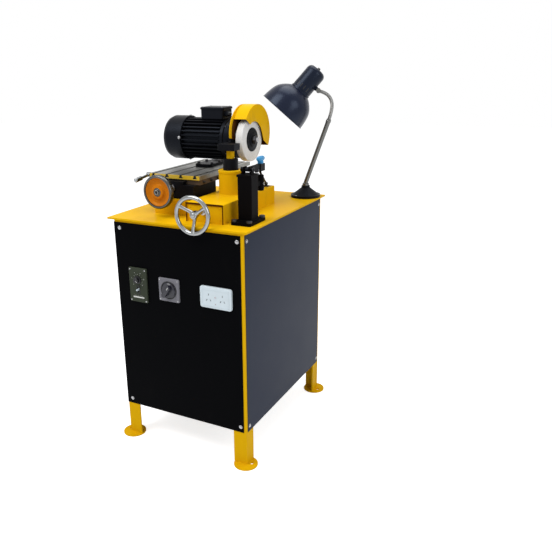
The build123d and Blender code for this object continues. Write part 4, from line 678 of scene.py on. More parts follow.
@dataclass
class Mould:
    """One piece while it is made; sizes are in millimetres, places in metres.

    It names the CAD body that carries it, the record's material slot and the CAD nodes it stands for.
    """

    name: str
    finish: Finish
    body: str
    slot: str
    replaces: tuple[str, ...]
    mesh: bmesh.types.BMesh = field(default_factory=bmesh.new)

    ripple: ClassVar[float] = 3.0
    print_height: ClassVar[float] = 0.25

    def take(self, part: bmesh.types.BMesh, place: Matrix) -> None:
        """Add a part at a place.

        Args:
            part: The part, in metres about its own origin.
            place: Where it goes.
        """
        bmesh.ops.remove_doubles(part, verts=part.verts, dist=MERGE)
        bmesh.ops.recalc_face_normals(part, faces=part.faces)
        bmesh.ops.transform(part, matrix=place, verts=part.verts)
        data = bpy.data.meshes.new("part")
        part.to_mesh(data)
        part.free()
        self.mesh.from_mesh(data)
        bpy.data.meshes.remove(data)

    def turn(self, profile: Profile, place: Matrix, steps: int) -> None:
        """Solid turned about the place's Z, from a profile that starts and ends on the axis."""
        self.take(spun(profile, steps), place)

    def ring(self, section: Profile, place: Matrix, steps: int) -> None:
        """Ring turned about the place's Z, from a closed section."""
        self.take(spun(section, steps, ring=True), place)

    def bar(self, start: Vector, end: Vector, radius: float, tip: float, steps: int) -> None:
        """Round bar between two points, straight or tapered.

        Args:
            start: First point.
            end: Last point.
            radius: Radius at the first point.
            tip: Radius at the last point.
            steps: Faces round the bar.
        """
        part = bmesh.new()
        sizes = {"radius1": radius * MM, "radius2": tip * MM, "depth": (end - start).length}
        bmesh.ops.create_cone(part, cap_ends=True, segments=steps, **sizes)
        self.take(part, stand((start + end) / 2, end - start))

    def block(self, size: Sequence[float], place: Matrix, soft: float, segments: int = 3) -> None:
        """Block with rounded edges.

        Args:
            size: Its sides.
            place: Where its middle goes.
            soft: Width of the rounding.
            segments: Steps of each edge.
        """
        part = bmesh.new()
        bmesh.ops.create_cube(part, size=1.0)
        bmesh.ops.scale(part, vec=Vector(size) * MM, verts=part.verts)
        bevelled(part, part.edges[:], soft, segments)
        self.take(part, place)

    def stroke(self, stroke: Stroke, place: Matrix) -> None:
        """Stroke along the place's X."""
        self.block((stroke.length, stroke.width, stroke.thick), place, stroke.soft, segments=1)

    def nut(self, nut: Nut, place: Matrix) -> None:
        """Hexagon with its top corners turned off.

        Args:
            nut: Its sizes.
            place: Where its foot stands.
        """
        part = bmesh.new()
        radius = nut.across / 2 / math.cos(math.pi / 6) * MM
        sizes = {"radius1": radius, "radius2": radius, "depth": nut.height * MM}
        middle = raised(Matrix(), nut.height / 2)
        bmesh.ops.create_cone(part, cap_ends=True, segments=6, matrix=middle, **sizes)
        level = nut.height * MM * 0.9
        top = [edge for edge in part.edges if all(vert.co.z > level for vert in edge.verts)]
        bevelled(part, top, nut.soft, segments=2)
        self.take(part, place)

    def locked(self, nut: Nut, thread: Thread, place: Matrix) -> None:
        """Nut with the end of its stud standing out of it."""
        self.nut(nut, place)
        self.thread(thread, raised(place, nut.height - thread.sunk))

    def slotted(self, screw: Screw, place: Matrix) -> None:
        """Round screw head with a slot across it.

        Args:
            screw: Its sizes.
            place: Where its foot stands.
        """
        for side in SIDES:
            half = spun(screw.sized(screw.outline), screw.steps)
            bmesh.ops.remove_doubles(half, verts=half.verts, dist=MERGE)
            cut = bmesh.ops.bisect_plane(
                half,
                geom=half.verts[:] + half.edges[:] + half.faces[:],
                plane_co=(side * screw.slot / 2 * MM, 0, 0),
                plane_no=(-side, 0, 0),
                clear_outer=True,
            )
            edges = [item for item in cut["geom_cut"] if isinstance(item, bmesh.types.BMEdge)]
            bmesh.ops.holes_fill(half, edges=edges)
            self.take(half, place)
        self.turn(screw.sized(screw.core), place, screw.steps)

    def washer(self, radius: float, height: float, place: Matrix, wall: float = 0.6, steps: int = 24) -> None:
        """Washer with a broken edge, which starts at a share of its height."""
        edge = [(radius, 0), (radius, height * wall), (radius - 0.4, height)]
        self.turn([(0, 0), *edge, (0, height)], place, steps)

    def bolt(self, head: Hexagon, place: Matrix) -> None:
        """Hexagon head with a raised top, on a washer if it has one.

        Args:
            head: Its sizes.
            place: Where its seat is.
        """
        low = 0.0
        if head.washer:
            low = head.washer_height
            self.washer(head.washer, low, place, wall=0.75, steps=28)
        self.nut(Nut(head.across, head.height, head.across * head.edge_share), raised(place, low))
        top = low + head.height
        self.turn([(head.across * share, top + up) for share, up in head.cap], place, steps=24)

    def thread(self, thread: Thread, place: Matrix) -> None:
        """Threaded stud, as a row of crests.

        Args:
            thread: Its sizes.
            place: Where it starts.
        """
        crest, root = thread.radius, thread.radius - thread.pitch * 0.5
        profile = [(0.0, 0.0), (root, 0.0)]
        for index in range(int(thread.length / thread.pitch)):
            for radius, share in ((crest, 0.4), (crest, 0.6), (root, 1.0)):
                profile.append((radius, (index + share) * thread.pitch))
        self.turn([*profile, (0.0, profile[-1][1])], place, thread.steps)

    def bead(self, start: Vector, end: Vector, radius: float) -> None:
        """Weld bead between two points, with its ripples.

        Args:
            start: First point.
            end: Last point.
            radius: Radius of the bead.
        """
        length = (end - start).length / MM
        count = max(3, int(length / self.ripple))
        profile = [(0.0, 0.0), (radius * 0.6, 0.3)]
        for index in range(count):
            low = (index + 0.5) * length / count
            swell = 1.0 + 0.06 * math.sin(index * 2.4)
            profile += [(radius * swell, low), (radius * 0.88, low + length / count * 0.45)]
        profile[-1] = (radius * 0.6, length - 0.3)
        self.turn([*profile, (0.0, length)], stand(start, end - start), steps=12)

    def hose(self, points: Iterable[Vector], radii: Iterable[float], steps: int) -> None:
        """Round hose through points, one radius for each.

        Args:
            points: Middle line.
            radii: Radius at each point.
            steps: Faces round the hose.
        """
        line = list(points)
        part = bmesh.new()
        rings = []
        for index, (point, radius) in enumerate(zip(line, radii)):
            ahead = line[min(index + 1, len(line) - 1)] - line[max(index - 1, 0)]
            place = stand(point, ahead, REAR)
            made = bmesh.ops.create_circle(part, segments=steps, radius=radius * MM, matrix=place)
            rings.append(list({edge for vert in made["verts"] for edge in vert.link_edges}))
        for first, second in zip(rings, rings[1:]):
            bmesh.ops.bridge_loops(part, edges=first + second)
        bmesh.ops.holes_fill(part, edges=rings[0] + rings[-1])
        self.take(part, Matrix())

    def digits(self, text: str, height: float, place: Matrix) -> None:
        """Plain printed figures.

        Args:
            text: The figures.
            height: Their height.
            place: Where their middle goes, facing along Z.
        """
        curve = bpy.data.curves.new("figures", "FONT")
        curve.body = text
        curve.size = height * MM
        curve.align_x = "CENTER"
        curve.align_y = "CENTER"
        curve.extrude = self.print_height * MM / 2
        curve.resolution_u = 3
        holder = bpy.data.objects.new("figures", curve)
        data = bpy.data.meshes.new_from_object(holder)
        part = bmesh.new()
        part.from_mesh(data)
        bpy.data.objects.remove(holder)
        bpy.data.meshes.remove(data)
        bpy.data.curves.remove(curve)
        self.take(part, place)


def link(name: str, data: bpy.types.ID) -> bpy.types.Object:
    """Put a new object in the scene.

    Args:
        name: Its name.
        data: Mesh, light or camera that it holds.

    Returns:
        The object.
    """
    made = bpy.data.objects.new(name, data)
    bpy.context.scene.collection.objects.link(made)
    return made


def modify(thing: bpy.types.Object, name: str, kind: str, **settings: Any) -> None:
    """Give an object a modifier.

    Args:
        thing: The object.
        name: Name of the modifier.
        kind: Its type.
        **settings: Its properties.
    """
    made = thing.modifiers.new(name, kind)
    for key, setting in settings.items():
        setattr(made, key, setting)


@dataclass
class Shop:
    """The loaded frame and what every sub-assembly shares."""

    frame: dict[str, Any]
    crease: float = math.radians(34)
    flat: float = math.radians(0.5)
    weld: float = 0.002
    made: dict[str, bpy.types.Material] = field(default_factory=dict)

    def material(self, finish: Finish) -> bpy.types.Material:
        """Material of a finish, which is built once."""
        return self.made.get(finish.name) or self.made.setdefault(finish.name, finish.make())

    def dress(self, node: str, finish: Finish, edge: float) -> None:
        """Give a CAD node its finish, smooth shading and softened edges.

        Args:
            node: Name of the node.
            finish: Its finish.
            edge: Width of the softened edges, or 0 for crisp ones.
        """
        thing = self.frame["nodes"][node]
        thing.data.materials.clear()
        thing.data.materials.append(self.material(finish))
        for face in thing.data.polygons:
            face.use_smooth = True
        modify(thing, "weld", "WELD", merge_threshold=self.weld * MM)
        if edge > 0:
            modify(thing, "plane", "DECIMATE", decimate_type="DISSOLVE", angle_limit=self.flat)
            limits = {"limit_method": "ANGLE", "angle_limit": self.crease, "miter_outer": "MITER_ARC"}
            modify(thing, "edges", "BEVEL", width=edge * MM, segments=2, **limits)
        else:
            modify(thing, "crisp", "EDGE_SPLIT", split_angle=self.crease)
        modify(thing, "even", "WEIGHTED_NORMAL")
        LOG.info("dressed %s in %s", node, finish.name)

    def add(self, mould: Mould) -> None:
        """Turn a mould into a piece that rides on its body.

        Args:
            mould: The shaped mould.
        """
        for face in mould.mesh.faces:
            face.smooth = True
        for line in mould.mesh.edges:
            line.smooth = len(line.link_faces) == 2 and line.calc_face_angle() < self.crease
        data = bpy.data.meshes.new(mould.name)
        mould.mesh.to_mesh(data)
        mould.mesh.free()
        data.materials.append(self.material(mould.finish))
        piece = link(mould.name, data)
        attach(piece, mould.body)
        if mould.replaces:
            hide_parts(*mould.replaces)
        LOG.info("made %s on %s, %d faces", mould.name, mould.body, len(data.polygons))


Looks = dict[str, tuple[Finish, float]]


@dataclass
class Assembly:
    """Pieces of the machine that are built and dressed together."""

    shop: Shop
    pieces: list[Mould] = field(default_factory=list)

    finishes: ClassVar[Looks] = {}

    def piece(self, name: str, finish: Finish, body: str, slot: str, *replaces: str) -> Mould:
        """Begin a piece, which is cast once the whole assembly has its shape."""
        self.pieces.append(Mould(name, finish, body, slot, replaces))
        return self.pieces[-1]

    def build(self) -> None:
        """Shape the pieces that the CAD part leaves out; a plain assembly has none."""

    def cast(self) -> None:
        """Turn the shaped pieces into objects."""
        for mould in self.pieces:
            self.shop.add(mould)

    def dress(self) -> None:
        """Give the CAD nodes their finish."""
        for node, (finish, edge) in self.finishes.items():
            self.shop.dress(node, finish, edge)


@dataclass
class Cabinet(Assembly):
    """Welded stand with its panels and table plate."""

    screw: Screw = Screw(5.0, 2.6, 1.3)
    screw_inset: float = 21.0
    screw_twist: float = 0.9
    washer_radius: float = 6.6
    washer_height: float = 0.7
    bead_inset: float = 0.6
    bead_length: float = 40.0
    bead_height: float = 6.4
    bead_radius: float = 2.4

    finishes: ClassVar[Looks] = {
        "frame_legs": (YELLOW, 1.2),
        "foot_discs": (YELLOW, 0.8),
        "frame_rails": (YELLOW, 0.5),
        "front_panel": (BLACK_SHEET, 0.4),
        "side_panels": (SIDE_SHEET_REFLECTION, 0.4),
        "rear_panel": (BLACK_SHEET, 0.4),
        "table_top": (YELLOW, 1.0),
    }

    def build(self) -> None:
        """Panel screws and weld beads."""
        self.panel_screws()
        self.foot_welds()

    def panel_screws(self) -> None:
        """Slotted screws with washers round the four panels."""
        low, high = corners("panel_screws")
        first, last = corners("frame_legs")
        across = ends(first.x, last.x, self.screw_inset)
        along = ends(first.y, last.y, self.screw_inset)
        heights = ends(low.z, high.z, self.screw.radius)
        faces = zip(ends(low.y, high.y, self.screw.height), SIDES)
        flanks = zip(ends(low.x, high.x, self.screw.height), SIDES)
        spots = [(mm(x, y, z), REAR * sign) for x, (y, sign), z in product(across, faces, heights)]
        spots += [(mm(x, y, z), RIGHT * sign) for y, (x, sign), z in product(along, flanks, heights)]
        screws = self.piece("panel_screw_heads", BRIGHT, "stand", "steel", "panel_screws")
        for index, (spot, out) in enumerate(spots):
            place = stand(spot, out) @ Matrix.Rotation(index * self.screw_twist, 4, "Z")
            screws.washer(self.washer_radius, self.washer_height, place)
            screws.slotted(self.screw, raised(place, self.washer_height))

    def foot_welds(self) -> None:
        """Weld beads where the legs stand on their feet."""
        beads = self.piece("foot_weld_beads", YELLOW, "stand", "yellow_paint")
        low, high = corners("frame_legs")
        for (x, inward), (y, ahead) in product(((low.x, 1), (high.x, -1)), ((low.y, 1), (high.y, -1))):
            corner = mm(x - inward * self.bead_inset, y - ahead * self.bead_inset, self.bead_height)
            for way in (RIGHT * inward, REAR * ahead):
                beads.bead(corner, corner + way * self.bead_length * MM, self.bead_radius)


@dataclass(frozen=True)
class Border:
    """Sizes of four bars round a rectangle: the two upright ones come first in each pair."""

    half: Pair
    length: Pair
    width: float
    thick: float
    soft: float


@dataclass(frozen=True)
class PlateScrews:
    """Screws at the corners of a plate, with the degrees their slots turn for each millimetre out."""

    screw: Screw
    half: Pair
    lean: Pair


@dataclass
class Controls(Assembly):
    """Speed control, main switch and socket on the front panel."""

    speed_at: Point = (-161.0, -328.5, 607.0)
    speed_screws: PlateScrews = PlateScrews(Screw(2.8, 1.4, 0.8), (31.0, 56.0), (2.0, 0.0))
    scale_steps: int = 10
    scale_radius: float = 19.0
    figure_radius: float = 26.0
    figure: float = 5.2
    sweep: float = 135.0
    tick: Stroke = Stroke(3.2, 0.7, 0.3, 0.08)
    short_tick: Stroke = Stroke(2.08, 0.7, 0.3, 0.08)
    strip: Stroke = Stroke(5.0, 46.0, 0.5, 0.15)
    strip_tick: Stroke = Stroke(2.4, 0.7, 0.4, 0.1)
    strip_drop: float = 44.0
    strip_tick_drop: float = 38.0
    strip_pitch: float = 8.0
    run_drop: float = 16.0
    run_frame: Border = Border((6.4, 13.4), (30.0, 15.0), 3.0, 1.6, 0.5)
    knob_rise: float = 20.0
    knob_skirt: Profile = ((0, 0), (14, 0), (14, 3), (9.8, 4.5), (9.8, 12.8), (8.6, 14), (0, 14))
    knob_gap: float = 0.3
    flute: Point = (2.6, 3.4, 8.6)
    flute_soft: float = 0.7
    flute_count: int = 12
    flute_height: float = 8.6
    flute_radius: float = 9.2
    knob_pointer: Stroke = Stroke(8.0, 1.3, 0.6, 0.15)
    knob_pointer_radius: float = 4.4
    switch_at: Point = (-34.0, -327.5, 607.0)
    switch_screws: PlateScrews = PlateScrews(Screw(2.7, 1.3, 0.8), (35.0, 35.0), (1.0, 1 / 3))
    switch_section: Profile = ((28.2, -0.3), (32, -0.3), (32, 0.9), (31.2, 1.5), (29, 1.5), (28.2, 0.9))
    switch_tick: Stroke = Stroke(3.0, 0.9, 0.3, 0.08)
    switch_tick_radius: float = 34.5
    switch_turns: tuple[tuple[str, float], ...] = (("1", 35.0), ("0", 125.0))
    switch_figure: float = 6.0
    switch_figure_radius: float = 36.5
    switch_figure_turn: float = 13.0
    switch_pointer: Stroke = Stroke(11.0, 2.0, 0.5, 0.15)
    switch_pointer_radius: float = 16.0
    switch_depth: float = 22.4
    socket_at: Point = (150.0, -330.5, 607.0)
    socket_frame: Border = Border((50.0, 28.0), (58.0, 102.2), 2.2, 2.0, 0.6)
    outlet_half: float = 26.0
    # Dark blocks in the socket's pin slots, which are painted shade.
    contact: Stroke = Stroke(6.8, 2.4, 3.0, 0.2)
    contact_sink: float = 3.0
    contacts: tuple[Point, ...] = ((0.0, 10.0, 0.0), (-7.0, -9.0, 30.0), (7.0, -9.0, -30.0))
    socket_screws: tuple[tuple[Screw, float, float], ...] = (
        (Screw(3.4, 1.5, 1.0), 3.0, 20.0),
        (Screw(2.4, 1.2, 0.7), -20.0, 70.0),
    )

    finishes: ClassVar[Looks] = {
        "speed_control": (OLIVE, 0.5),
        "run_switch": (WHITE_PLASTIC, 0.3),
        "main_switch": (GREY_PLATE, 0.4),
        "main_switch_knob": (NAVY_PLASTIC, 0.5),
        "socket_outlet": (WHITE_PLASTIC, 0.3),
    }

    def build(self) -> None:
        """Scales, marks, small screws and inserts."""
        self.speed_scale()
        self.speed_trim()
        self.speed_grip()
        self.switch_trim()
        self.socket_trim()

    def spoke(self, centre: Vector, degrees: float, radius: float = 0.0) -> Matrix:
        """Place on a face, clockwise from straight up round a centre, with its X pointing outwards."""
        out = swung(UP, RIGHT, degrees)
        return stand(centre + out * radius * MM, FRONT, out)

    def upright(self, centre: Vector, degrees: float, radius: float) -> Matrix:
        """Place like a spoke's for a figure, which stays upright."""
        return stand(self.spoke(centre, degrees, radius).translation, FRONT, RIGHT)

    def beside(self, at: Point, right: float, up: float, degrees: float = 0.0, sink: float = 0.0) -> Matrix:
        """Place beside the middle of a plate, turned clockwise and sunk into it."""
        return self.spoke(mm(at[0] + right, at[1] + sink, at[2] + up), degrees)

    def plate_screws(self, name: str, at: Point, sizes: PlateScrews) -> None:
        """Slotted screws at the corners of a plate.

        Args:
            name: Name of the piece.
            at: Middle of the plate.
            sizes: The screws and their distances from the middle.
        """
        screws = self.piece(name, BRIGHT, "stand", "steel")
        for side, level in product(SIDES, SIDES):
            right, up = side * sizes.half[0], level * sizes.half[1]
            turn = right * sizes.lean[0] + up * sizes.lean[1]
            screws.slotted(sizes.screw, self.beside(at, right, up, turn))

    def border(self, frame: Mould, at: Point, sizes: Border) -> None:
        """Four bars round a rectangle.

        Args:
            frame: Mould that takes them.
            at: Middle of the rectangle.
            sizes: Sizes of the bars.
        """
        for side in SIDES:
            upright = (sizes.length[0], sizes.width, sizes.thick)
            frame.block(upright, self.beside(at, side * sizes.half[0], 0), sizes.soft)
            level = (sizes.width, sizes.length[1], sizes.thick)
            frame.block(level, self.beside(at, 0, side * sizes.half[1]), sizes.soft)

    def speed_scale(self) -> None:
        """Ticks and figures round the speed knob."""
        marks = self.piece("speed_scale_marks", MARKING, "stand", "white_plastic")
        centre = mm(*self.speed_at) + UP * self.knob_rise * MM
        for index in range(self.scale_steps + 1):
            turn = self.sweep * (2 * index / self.scale_steps - 1)
            tick = self.short_tick if index % 5 else self.tick
            marks.stroke(tick, self.spoke(centre, turn, self.scale_radius))
            if index % 2 == 0:
                marks.digits(str(index), self.figure, self.upright(centre, turn, self.figure_radius))

    def speed_trim(self) -> None:
        """Screws, slot frame and strip of the speed control."""
        self.plate_screws("speed_plate_screws", self.speed_at, self.speed_screws)
        x, y, z = self.speed_at
        frame = self.piece("run_switch_frame", BLACK_PLASTIC, "stand", "black_plastic")
        self.border(frame, (x, y, z - self.run_drop), self.run_frame)
        strip = self.piece("speed_plate_strip", MARKING, "stand", "white_plastic")
        strip.stroke(self.strip, self.beside(self.speed_at, 0, -self.strip_drop))
        for index in range(-2, 3):
            place = self.beside(self.speed_at, self.strip_pitch * index, -self.strip_tick_drop)
            strip.stroke(self.strip_tick, place)

    def speed_grip(self) -> None:
        """Fluted knob whose pointer rests at the end of the scale."""
        x, y, z = self.speed_at
        foot = mm(x, y - self.knob_gap, z + self.knob_rise)
        knob = self.piece("speed_knob_grip", BLACK_PLASTIC, "speed_knob", "black_plastic", "speed_knob")
        knob.turn(self.knob_skirt, stand(foot, FRONT), steps=48)
        for index in range(self.flute_count):
            turn = 360 * (index + 0.5) / self.flute_count
            place = self.spoke(foot + FRONT * self.flute_height * MM, turn, self.flute_radius)
            knob.block(self.flute, place, self.flute_soft, segments=2)
        pointer = self.piece("speed_knob_pointer", MARKING, "speed_knob", "black_plastic")
        face = foot + FRONT * self.knob_skirt[-1][1] * MM
        pointer.stroke(self.knob_pointer, self.spoke(face, self.sweep, self.knob_pointer_radius))

    def switch_trim(self) -> None:
        """Ring, figures, corner screws and pointer of the main switch."""
        centre = mm(*self.switch_at)
        ring = self.piece("switch_ring", BLACK_PLASTIC, "stand", "black_plastic")
        ring.ring(self.switch_section, stand(centre, FRONT), steps=72)
        marks = self.piece("switch_marks", DARK_INK_AND_SHADE, "stand", "grey_plate")
        for _, turn in self.switch_turns:
            marks.stroke(self.switch_tick, self.spoke(centre, turn, self.switch_tick_radius))
        for figure, turn in self.switch_turns:
            place = self.upright(centre, turn + self.switch_figure_turn, self.switch_figure_radius)
            marks.digits(figure, self.switch_figure, place)
        self.plate_screws("switch_plate_screws", self.switch_at, self.switch_screws)
        pointer = self.piece("switch_pointer", MARKING, "main_switch_knob", "black_plastic")
        face = centre + FRONT * self.switch_depth * MM
        place = self.spoke(face, self.switch_turns[0][1], self.switch_pointer_radius)
        pointer.stroke(self.switch_pointer, place)

    def socket_trim(self) -> None:
        """Raised frame, painted shade in the pin slots and screws of the socket."""
        frame = self.piece("socket_frame", WHITE_PLASTIC, "stand", "white_plastic")
        self.border(frame, self.socket_at, self.socket_frame)
        # Dark blocks sunk in the pin slots are painted shade.
        contacts = self.piece("socket_slot_shades", DARK_INK_AND_SHADE, "stand", "black_plastic")
        for side, (right, up, turn) in product(SIDES, self.contacts):
            across = side * self.outlet_half + right
            contacts.stroke(self.contact, self.beside(self.socket_at, across, up, turn, self.contact_sink))
        screws = self.piece("socket_screws", BRIGHT, "stand", "steel")
        for screw, up, turn in self.socket_screws:
            screws.slotted(screw, self.beside(self.socket_at, 0, up, turn))


@dataclass
class Lift(Assembly):
    """Base box, column, ram and the handwheel that lifts the head."""

    axis_x: float = 79.0
    axis_z: float = 876.0
    rim_y: float = -337.0
    rim_radius: float = 58.5
    tube: float = 7.0
    hub: Profile = (
        (0, -26), (10.5, -26), (11.5, -24.5), (11.5, -19), (13, -17.5), (13, -6), (11.8, -4.4),
        (8.4, -3.4), (8, -2), (7, -0.6), (4.5, 0.5), (0, 1),
    )
    spokes: Row = (30.0, 150.0, 270.0)
    spoke_steps: int = 16
    spoke_start: float = 9.0
    spoke_gap: float = 1.5
    spoke_low: float = -14.0
    spoke_rise: float = 13.0
    spoke_radius: float = 5.0
    spoke_root: float = 2.6
    spoke_flare: float = 3.2
    set_screw: Screw = Screw(3.0, 1.6, 0.9)
    set_screw_back: float = 22.0
    set_screw_rise: float = 11.2
    cover_y: float = -261.0
    cover_screw: Screw = Screw(3.6, 2.0, 1.0)
    cover_inset: float = 16.0
    cover_low: float = 13.0
    cover_high: float = 15.0
    cover_lean: Point = (0.5, 0.0, 1.0)
    collar_gap: float = 3.0
    collar_section: Profile = ((6.02, 0), (11.2, 0), (12, 0.8), (12, 9.2), (11.2, 10), (6.02, 10))
    collar_screw: Screw = Screw(2.2, 1.2, 0.7)
    collar_screw_gap: float = 8.0
    collar_screw_rise: float = 11.4
    box_sides: Pair = (8.0, 150.0)
    box_low: float = 837.0
    box_high: float = 901.0
    bead_rise: float = 0.3
    bead_rows: Row = (-250.0, -175.0, -100.0, -25.0, 50.0)
    bead_length: float = 34.0
    bead_radius: float = 2.0

    finishes: ClassVar[Looks] = {
        "base_box": (BOX_YELLOW_RIM_SHADE, 0.5),
        "box_cover": (YELLOW, 0.7),
        "column_sleeve": (YELLOW, 0.8),
        "ram": (BLACK_CAST, 0.5),
        "lift_shaft": (STEEL, 0.0),
        "lift_screw": (STEEL, 0.0),
    }

    def build(self) -> None:
        """Handwheel, collar, cover screws and weld beads."""
        self.handwheel()
        self.collar()
        self.cover_screws()
        self.box_welds()

    def on_axis(self, y: float, above: float = 0.0) -> Vector:
        """Point on the shaft's axis or above it."""
        return mm(self.axis_x, y, self.axis_z + above)

    def handwheel(self) -> None:
        """Chromed handwheel with three flared spokes and a turned hub."""
        place = stand(self.on_axis(self.rim_y), FRONT, RIGHT)
        length = self.rim_radius - self.spoke_gap - self.spoke_start
        wheel = self.piece("lift_wheel_chrome", CHROME, "lift_wheel", "chrome", "lift_handwheel")
        wheel.ring(circle(self.rim_radius, 0.0, self.tube, steps=20), place, steps=96)
        wheel.turn(self.hub, place, steps=48)
        for angle in self.spokes:
            out = swung(RIGHT, REAR, angle)
            line, radii = [], []
            for step in range(self.spoke_steps + 1):
                share = step / self.spoke_steps
                rise = self.spoke_low + self.spoke_rise * (3 * share**2 - 2 * share**3)
                reach = self.spoke_start + length * share
                line.append(place @ ((out * reach + UP * rise) * MM))
                swell = self.spoke_root * (1 - share) ** 3 + self.spoke_flare * share**5
                radii.append(self.spoke_radius + swell)
            wheel.hose(line, radii, steps=20)
        screw = self.piece("lift_wheel_set_screw", DARK_STEEL, "lift_wheel", "black_steel")
        spot = self.on_axis(self.rim_y + self.set_screw_back, self.set_screw_rise)
        screw.slotted(self.set_screw, stand(spot, UP, RIGHT))

    def collar(self) -> None:
        """Set collar on the shaft in front of the box."""
        collar = self.piece("lift_set_collar", STEEL, "lift_wheel", "steel")
        collar.ring(self.collar_section, stand(self.on_axis(self.cover_y - self.collar_gap), FRONT), steps=48)
        spot = self.on_axis(self.cover_y - self.collar_screw_gap, self.collar_screw_rise)
        collar.slotted(self.collar_screw, stand(spot, UP, RIGHT))

    def cover_screws(self) -> None:
        """Painted screws at the corners of the box cover."""
        screws = self.piece("box_cover_screws", YELLOW, "stand", "yellow_paint")
        heights = (self.box_low + self.cover_low, self.box_high - self.cover_high)
        for x, z in product(ends(*self.box_sides, self.cover_inset), heights):
            screws.slotted(self.cover_screw, stand(mm(x, self.cover_y, z), FRONT, self.cover_lean))

    def box_welds(self) -> None:
        """Weld beads along the foot of the box."""
        beads = self.piece("box_weld_beads", YELLOW, "stand", "yellow_paint")
        for x, y in product(self.box_sides, self.bead_rows):
            start = mm(x, y, self.box_low + self.bead_rise)
            beads.bead(start, start + REAR * self.bead_length * MM, self.bead_radius)


@dataclass(frozen=True)
class BoltCircle:
    """Bolts round the motor's axis, with their place along it, distance from it and turns from the top."""

    head: Hexagon
    x: float
    radius: float
    turns: Row


@dataclass
class Head(Assembly):
    """Motor, bracket and guard on the ram."""

    axis_y: float = 23.0
    axis_z: float = 1075.0
    cover_x: float = -146.0
    cover_radius: float = 77.8
    cover_turns: Row = (85.0, 175.0, 265.0, 355.0)
    cover_screw: Screw = Screw(4.0, 2.4, 1.0)
    cover_washer: Pair = (5.4, 1.0)
    shield_bolts: BoltCircle = BoltCircle(Hexagon(8.0, 4.0), 26.0, 64.5, (45.0, 135.0, 225.0, 315.0))
    guard_bolts: BoltCircle = BoltCircle(Hexagon(10.0, 4.4, 7.5), 68.5, 50.0, (65.0, 0.0, -65.0))
    lid_screw: Screw = Screw(3.2, 1.8, 0.9)
    lid_columns: Pair = (10.0, 86.0)
    lid_half: float = 29.0
    lid_sink: float = 0.1
    lid_lean: float = 0.01
    gland_at: Point = (-0.5, -14.0, 16.0)
    gland: Profile = (
        (0, 0), (7.4, 0), (7.4, 2), (7, 2.4), (7.4, 3.4), (7, 4.4), (7.4, 5.4), (7, 6.4), (7.4, 7.4),
        (6.6, 9.2), (4.8, 10.4), (4.6, 9), (0, 9),
    )

    finishes: ClassVar[Looks] = {
        "swivel_neck": (YELLOW, 0.7),
        "head_bracket": (BLACK_CAST, 0.9),
        "motor_housing": (BLACK_MOTOR, 0.5),
        "end_shields": (BLACK_MOTOR, 0.6),
        "motor_bearings": (STEEL, 0.0),
        "stator_core": (COPPER, 0.0),
        "motor_shaft": (STEEL, 0.3),
        "cooling_fan": (BLACK_PLASTIC, 0.0),
        "fan_cover": (BLACK_MOTOR, 0.0),
        "terminal_box": (BLACK_MOTOR, 0.6),
        "wheel_guard": (GUARD_YELLOW_INNER_SHADE, 0.4),
    }

    def build(self) -> None:
        """Screws of the motor and its box, and the bolts of shield and guard."""
        self.cover_screws()
        self.bolts("shield_tie_bolts", self.shield_bolts, DARK_STEEL, "black_motor")
        self.box_screws()
        self.bolts("guard_bolts", self.guard_bolts, BRIGHT, "steel")

    def around(self, x: float, radius: float, degrees: float) -> tuple[Vector, Vector]:
        """Point round the motor's axis, turned from straight up to the front, and its way out."""
        out = swung(UP, FRONT, degrees)
        return mm(x, self.axis_y, self.axis_z) + out * radius * MM, out

    def cover_screws(self) -> None:
        """Screws with washers round the fan cover."""
        screws = self.piece("fan_cover_screws", BRIGHT, "head", "steel")
        for turn in self.cover_turns:
            spot, out = self.around(self.cover_x, self.cover_radius, turn)
            place = stand(spot, out, RIGHT)
            screws.washer(*self.cover_washer, place)
            screws.slotted(self.cover_screw, raised(place, self.cover_washer[1]))

    def bolts(self, name: str, places: BoltCircle, finish: Finish, slot: str) -> None:
        """Hexagon bolts round the motor's axis, looking right.

        Args:
            name: Name of the piece.
            places: The bolts and where they are.
            finish: Their finish.
            slot: Material slot of the record.
        """
        bolts = self.piece(name, finish, "head", slot)
        for turn in places.turns:
            spot, out = self.around(places.x, places.radius, turn)
            bolts.bolt(places.head, stand(spot, RIGHT, out))

    def box_screws(self) -> None:
        """Lid screws and gland nut of the terminal box."""
        low, high = corners("terminal_box")
        screws = self.piece("terminal_lid_screws", BRIGHT, "head", "steel")
        for column, side in product(self.lid_columns, SIDES):
            x = low.x + column
            spot = mm(x, self.axis_y + side * self.lid_half, high.z - self.lid_sink)
            screws.slotted(self.lid_screw, stand(spot, UP, (1, x * self.lid_lean, 0)))
        gland = self.piece("gland_nut", BLACK_PLASTIC, "head", "black_motor")
        right, back, up = self.gland_at
        spot = mm(high.x + right, self.axis_y + back, low.z + up)
        gland.turn(self.gland, stand(spot, RIGHT), steps=36)


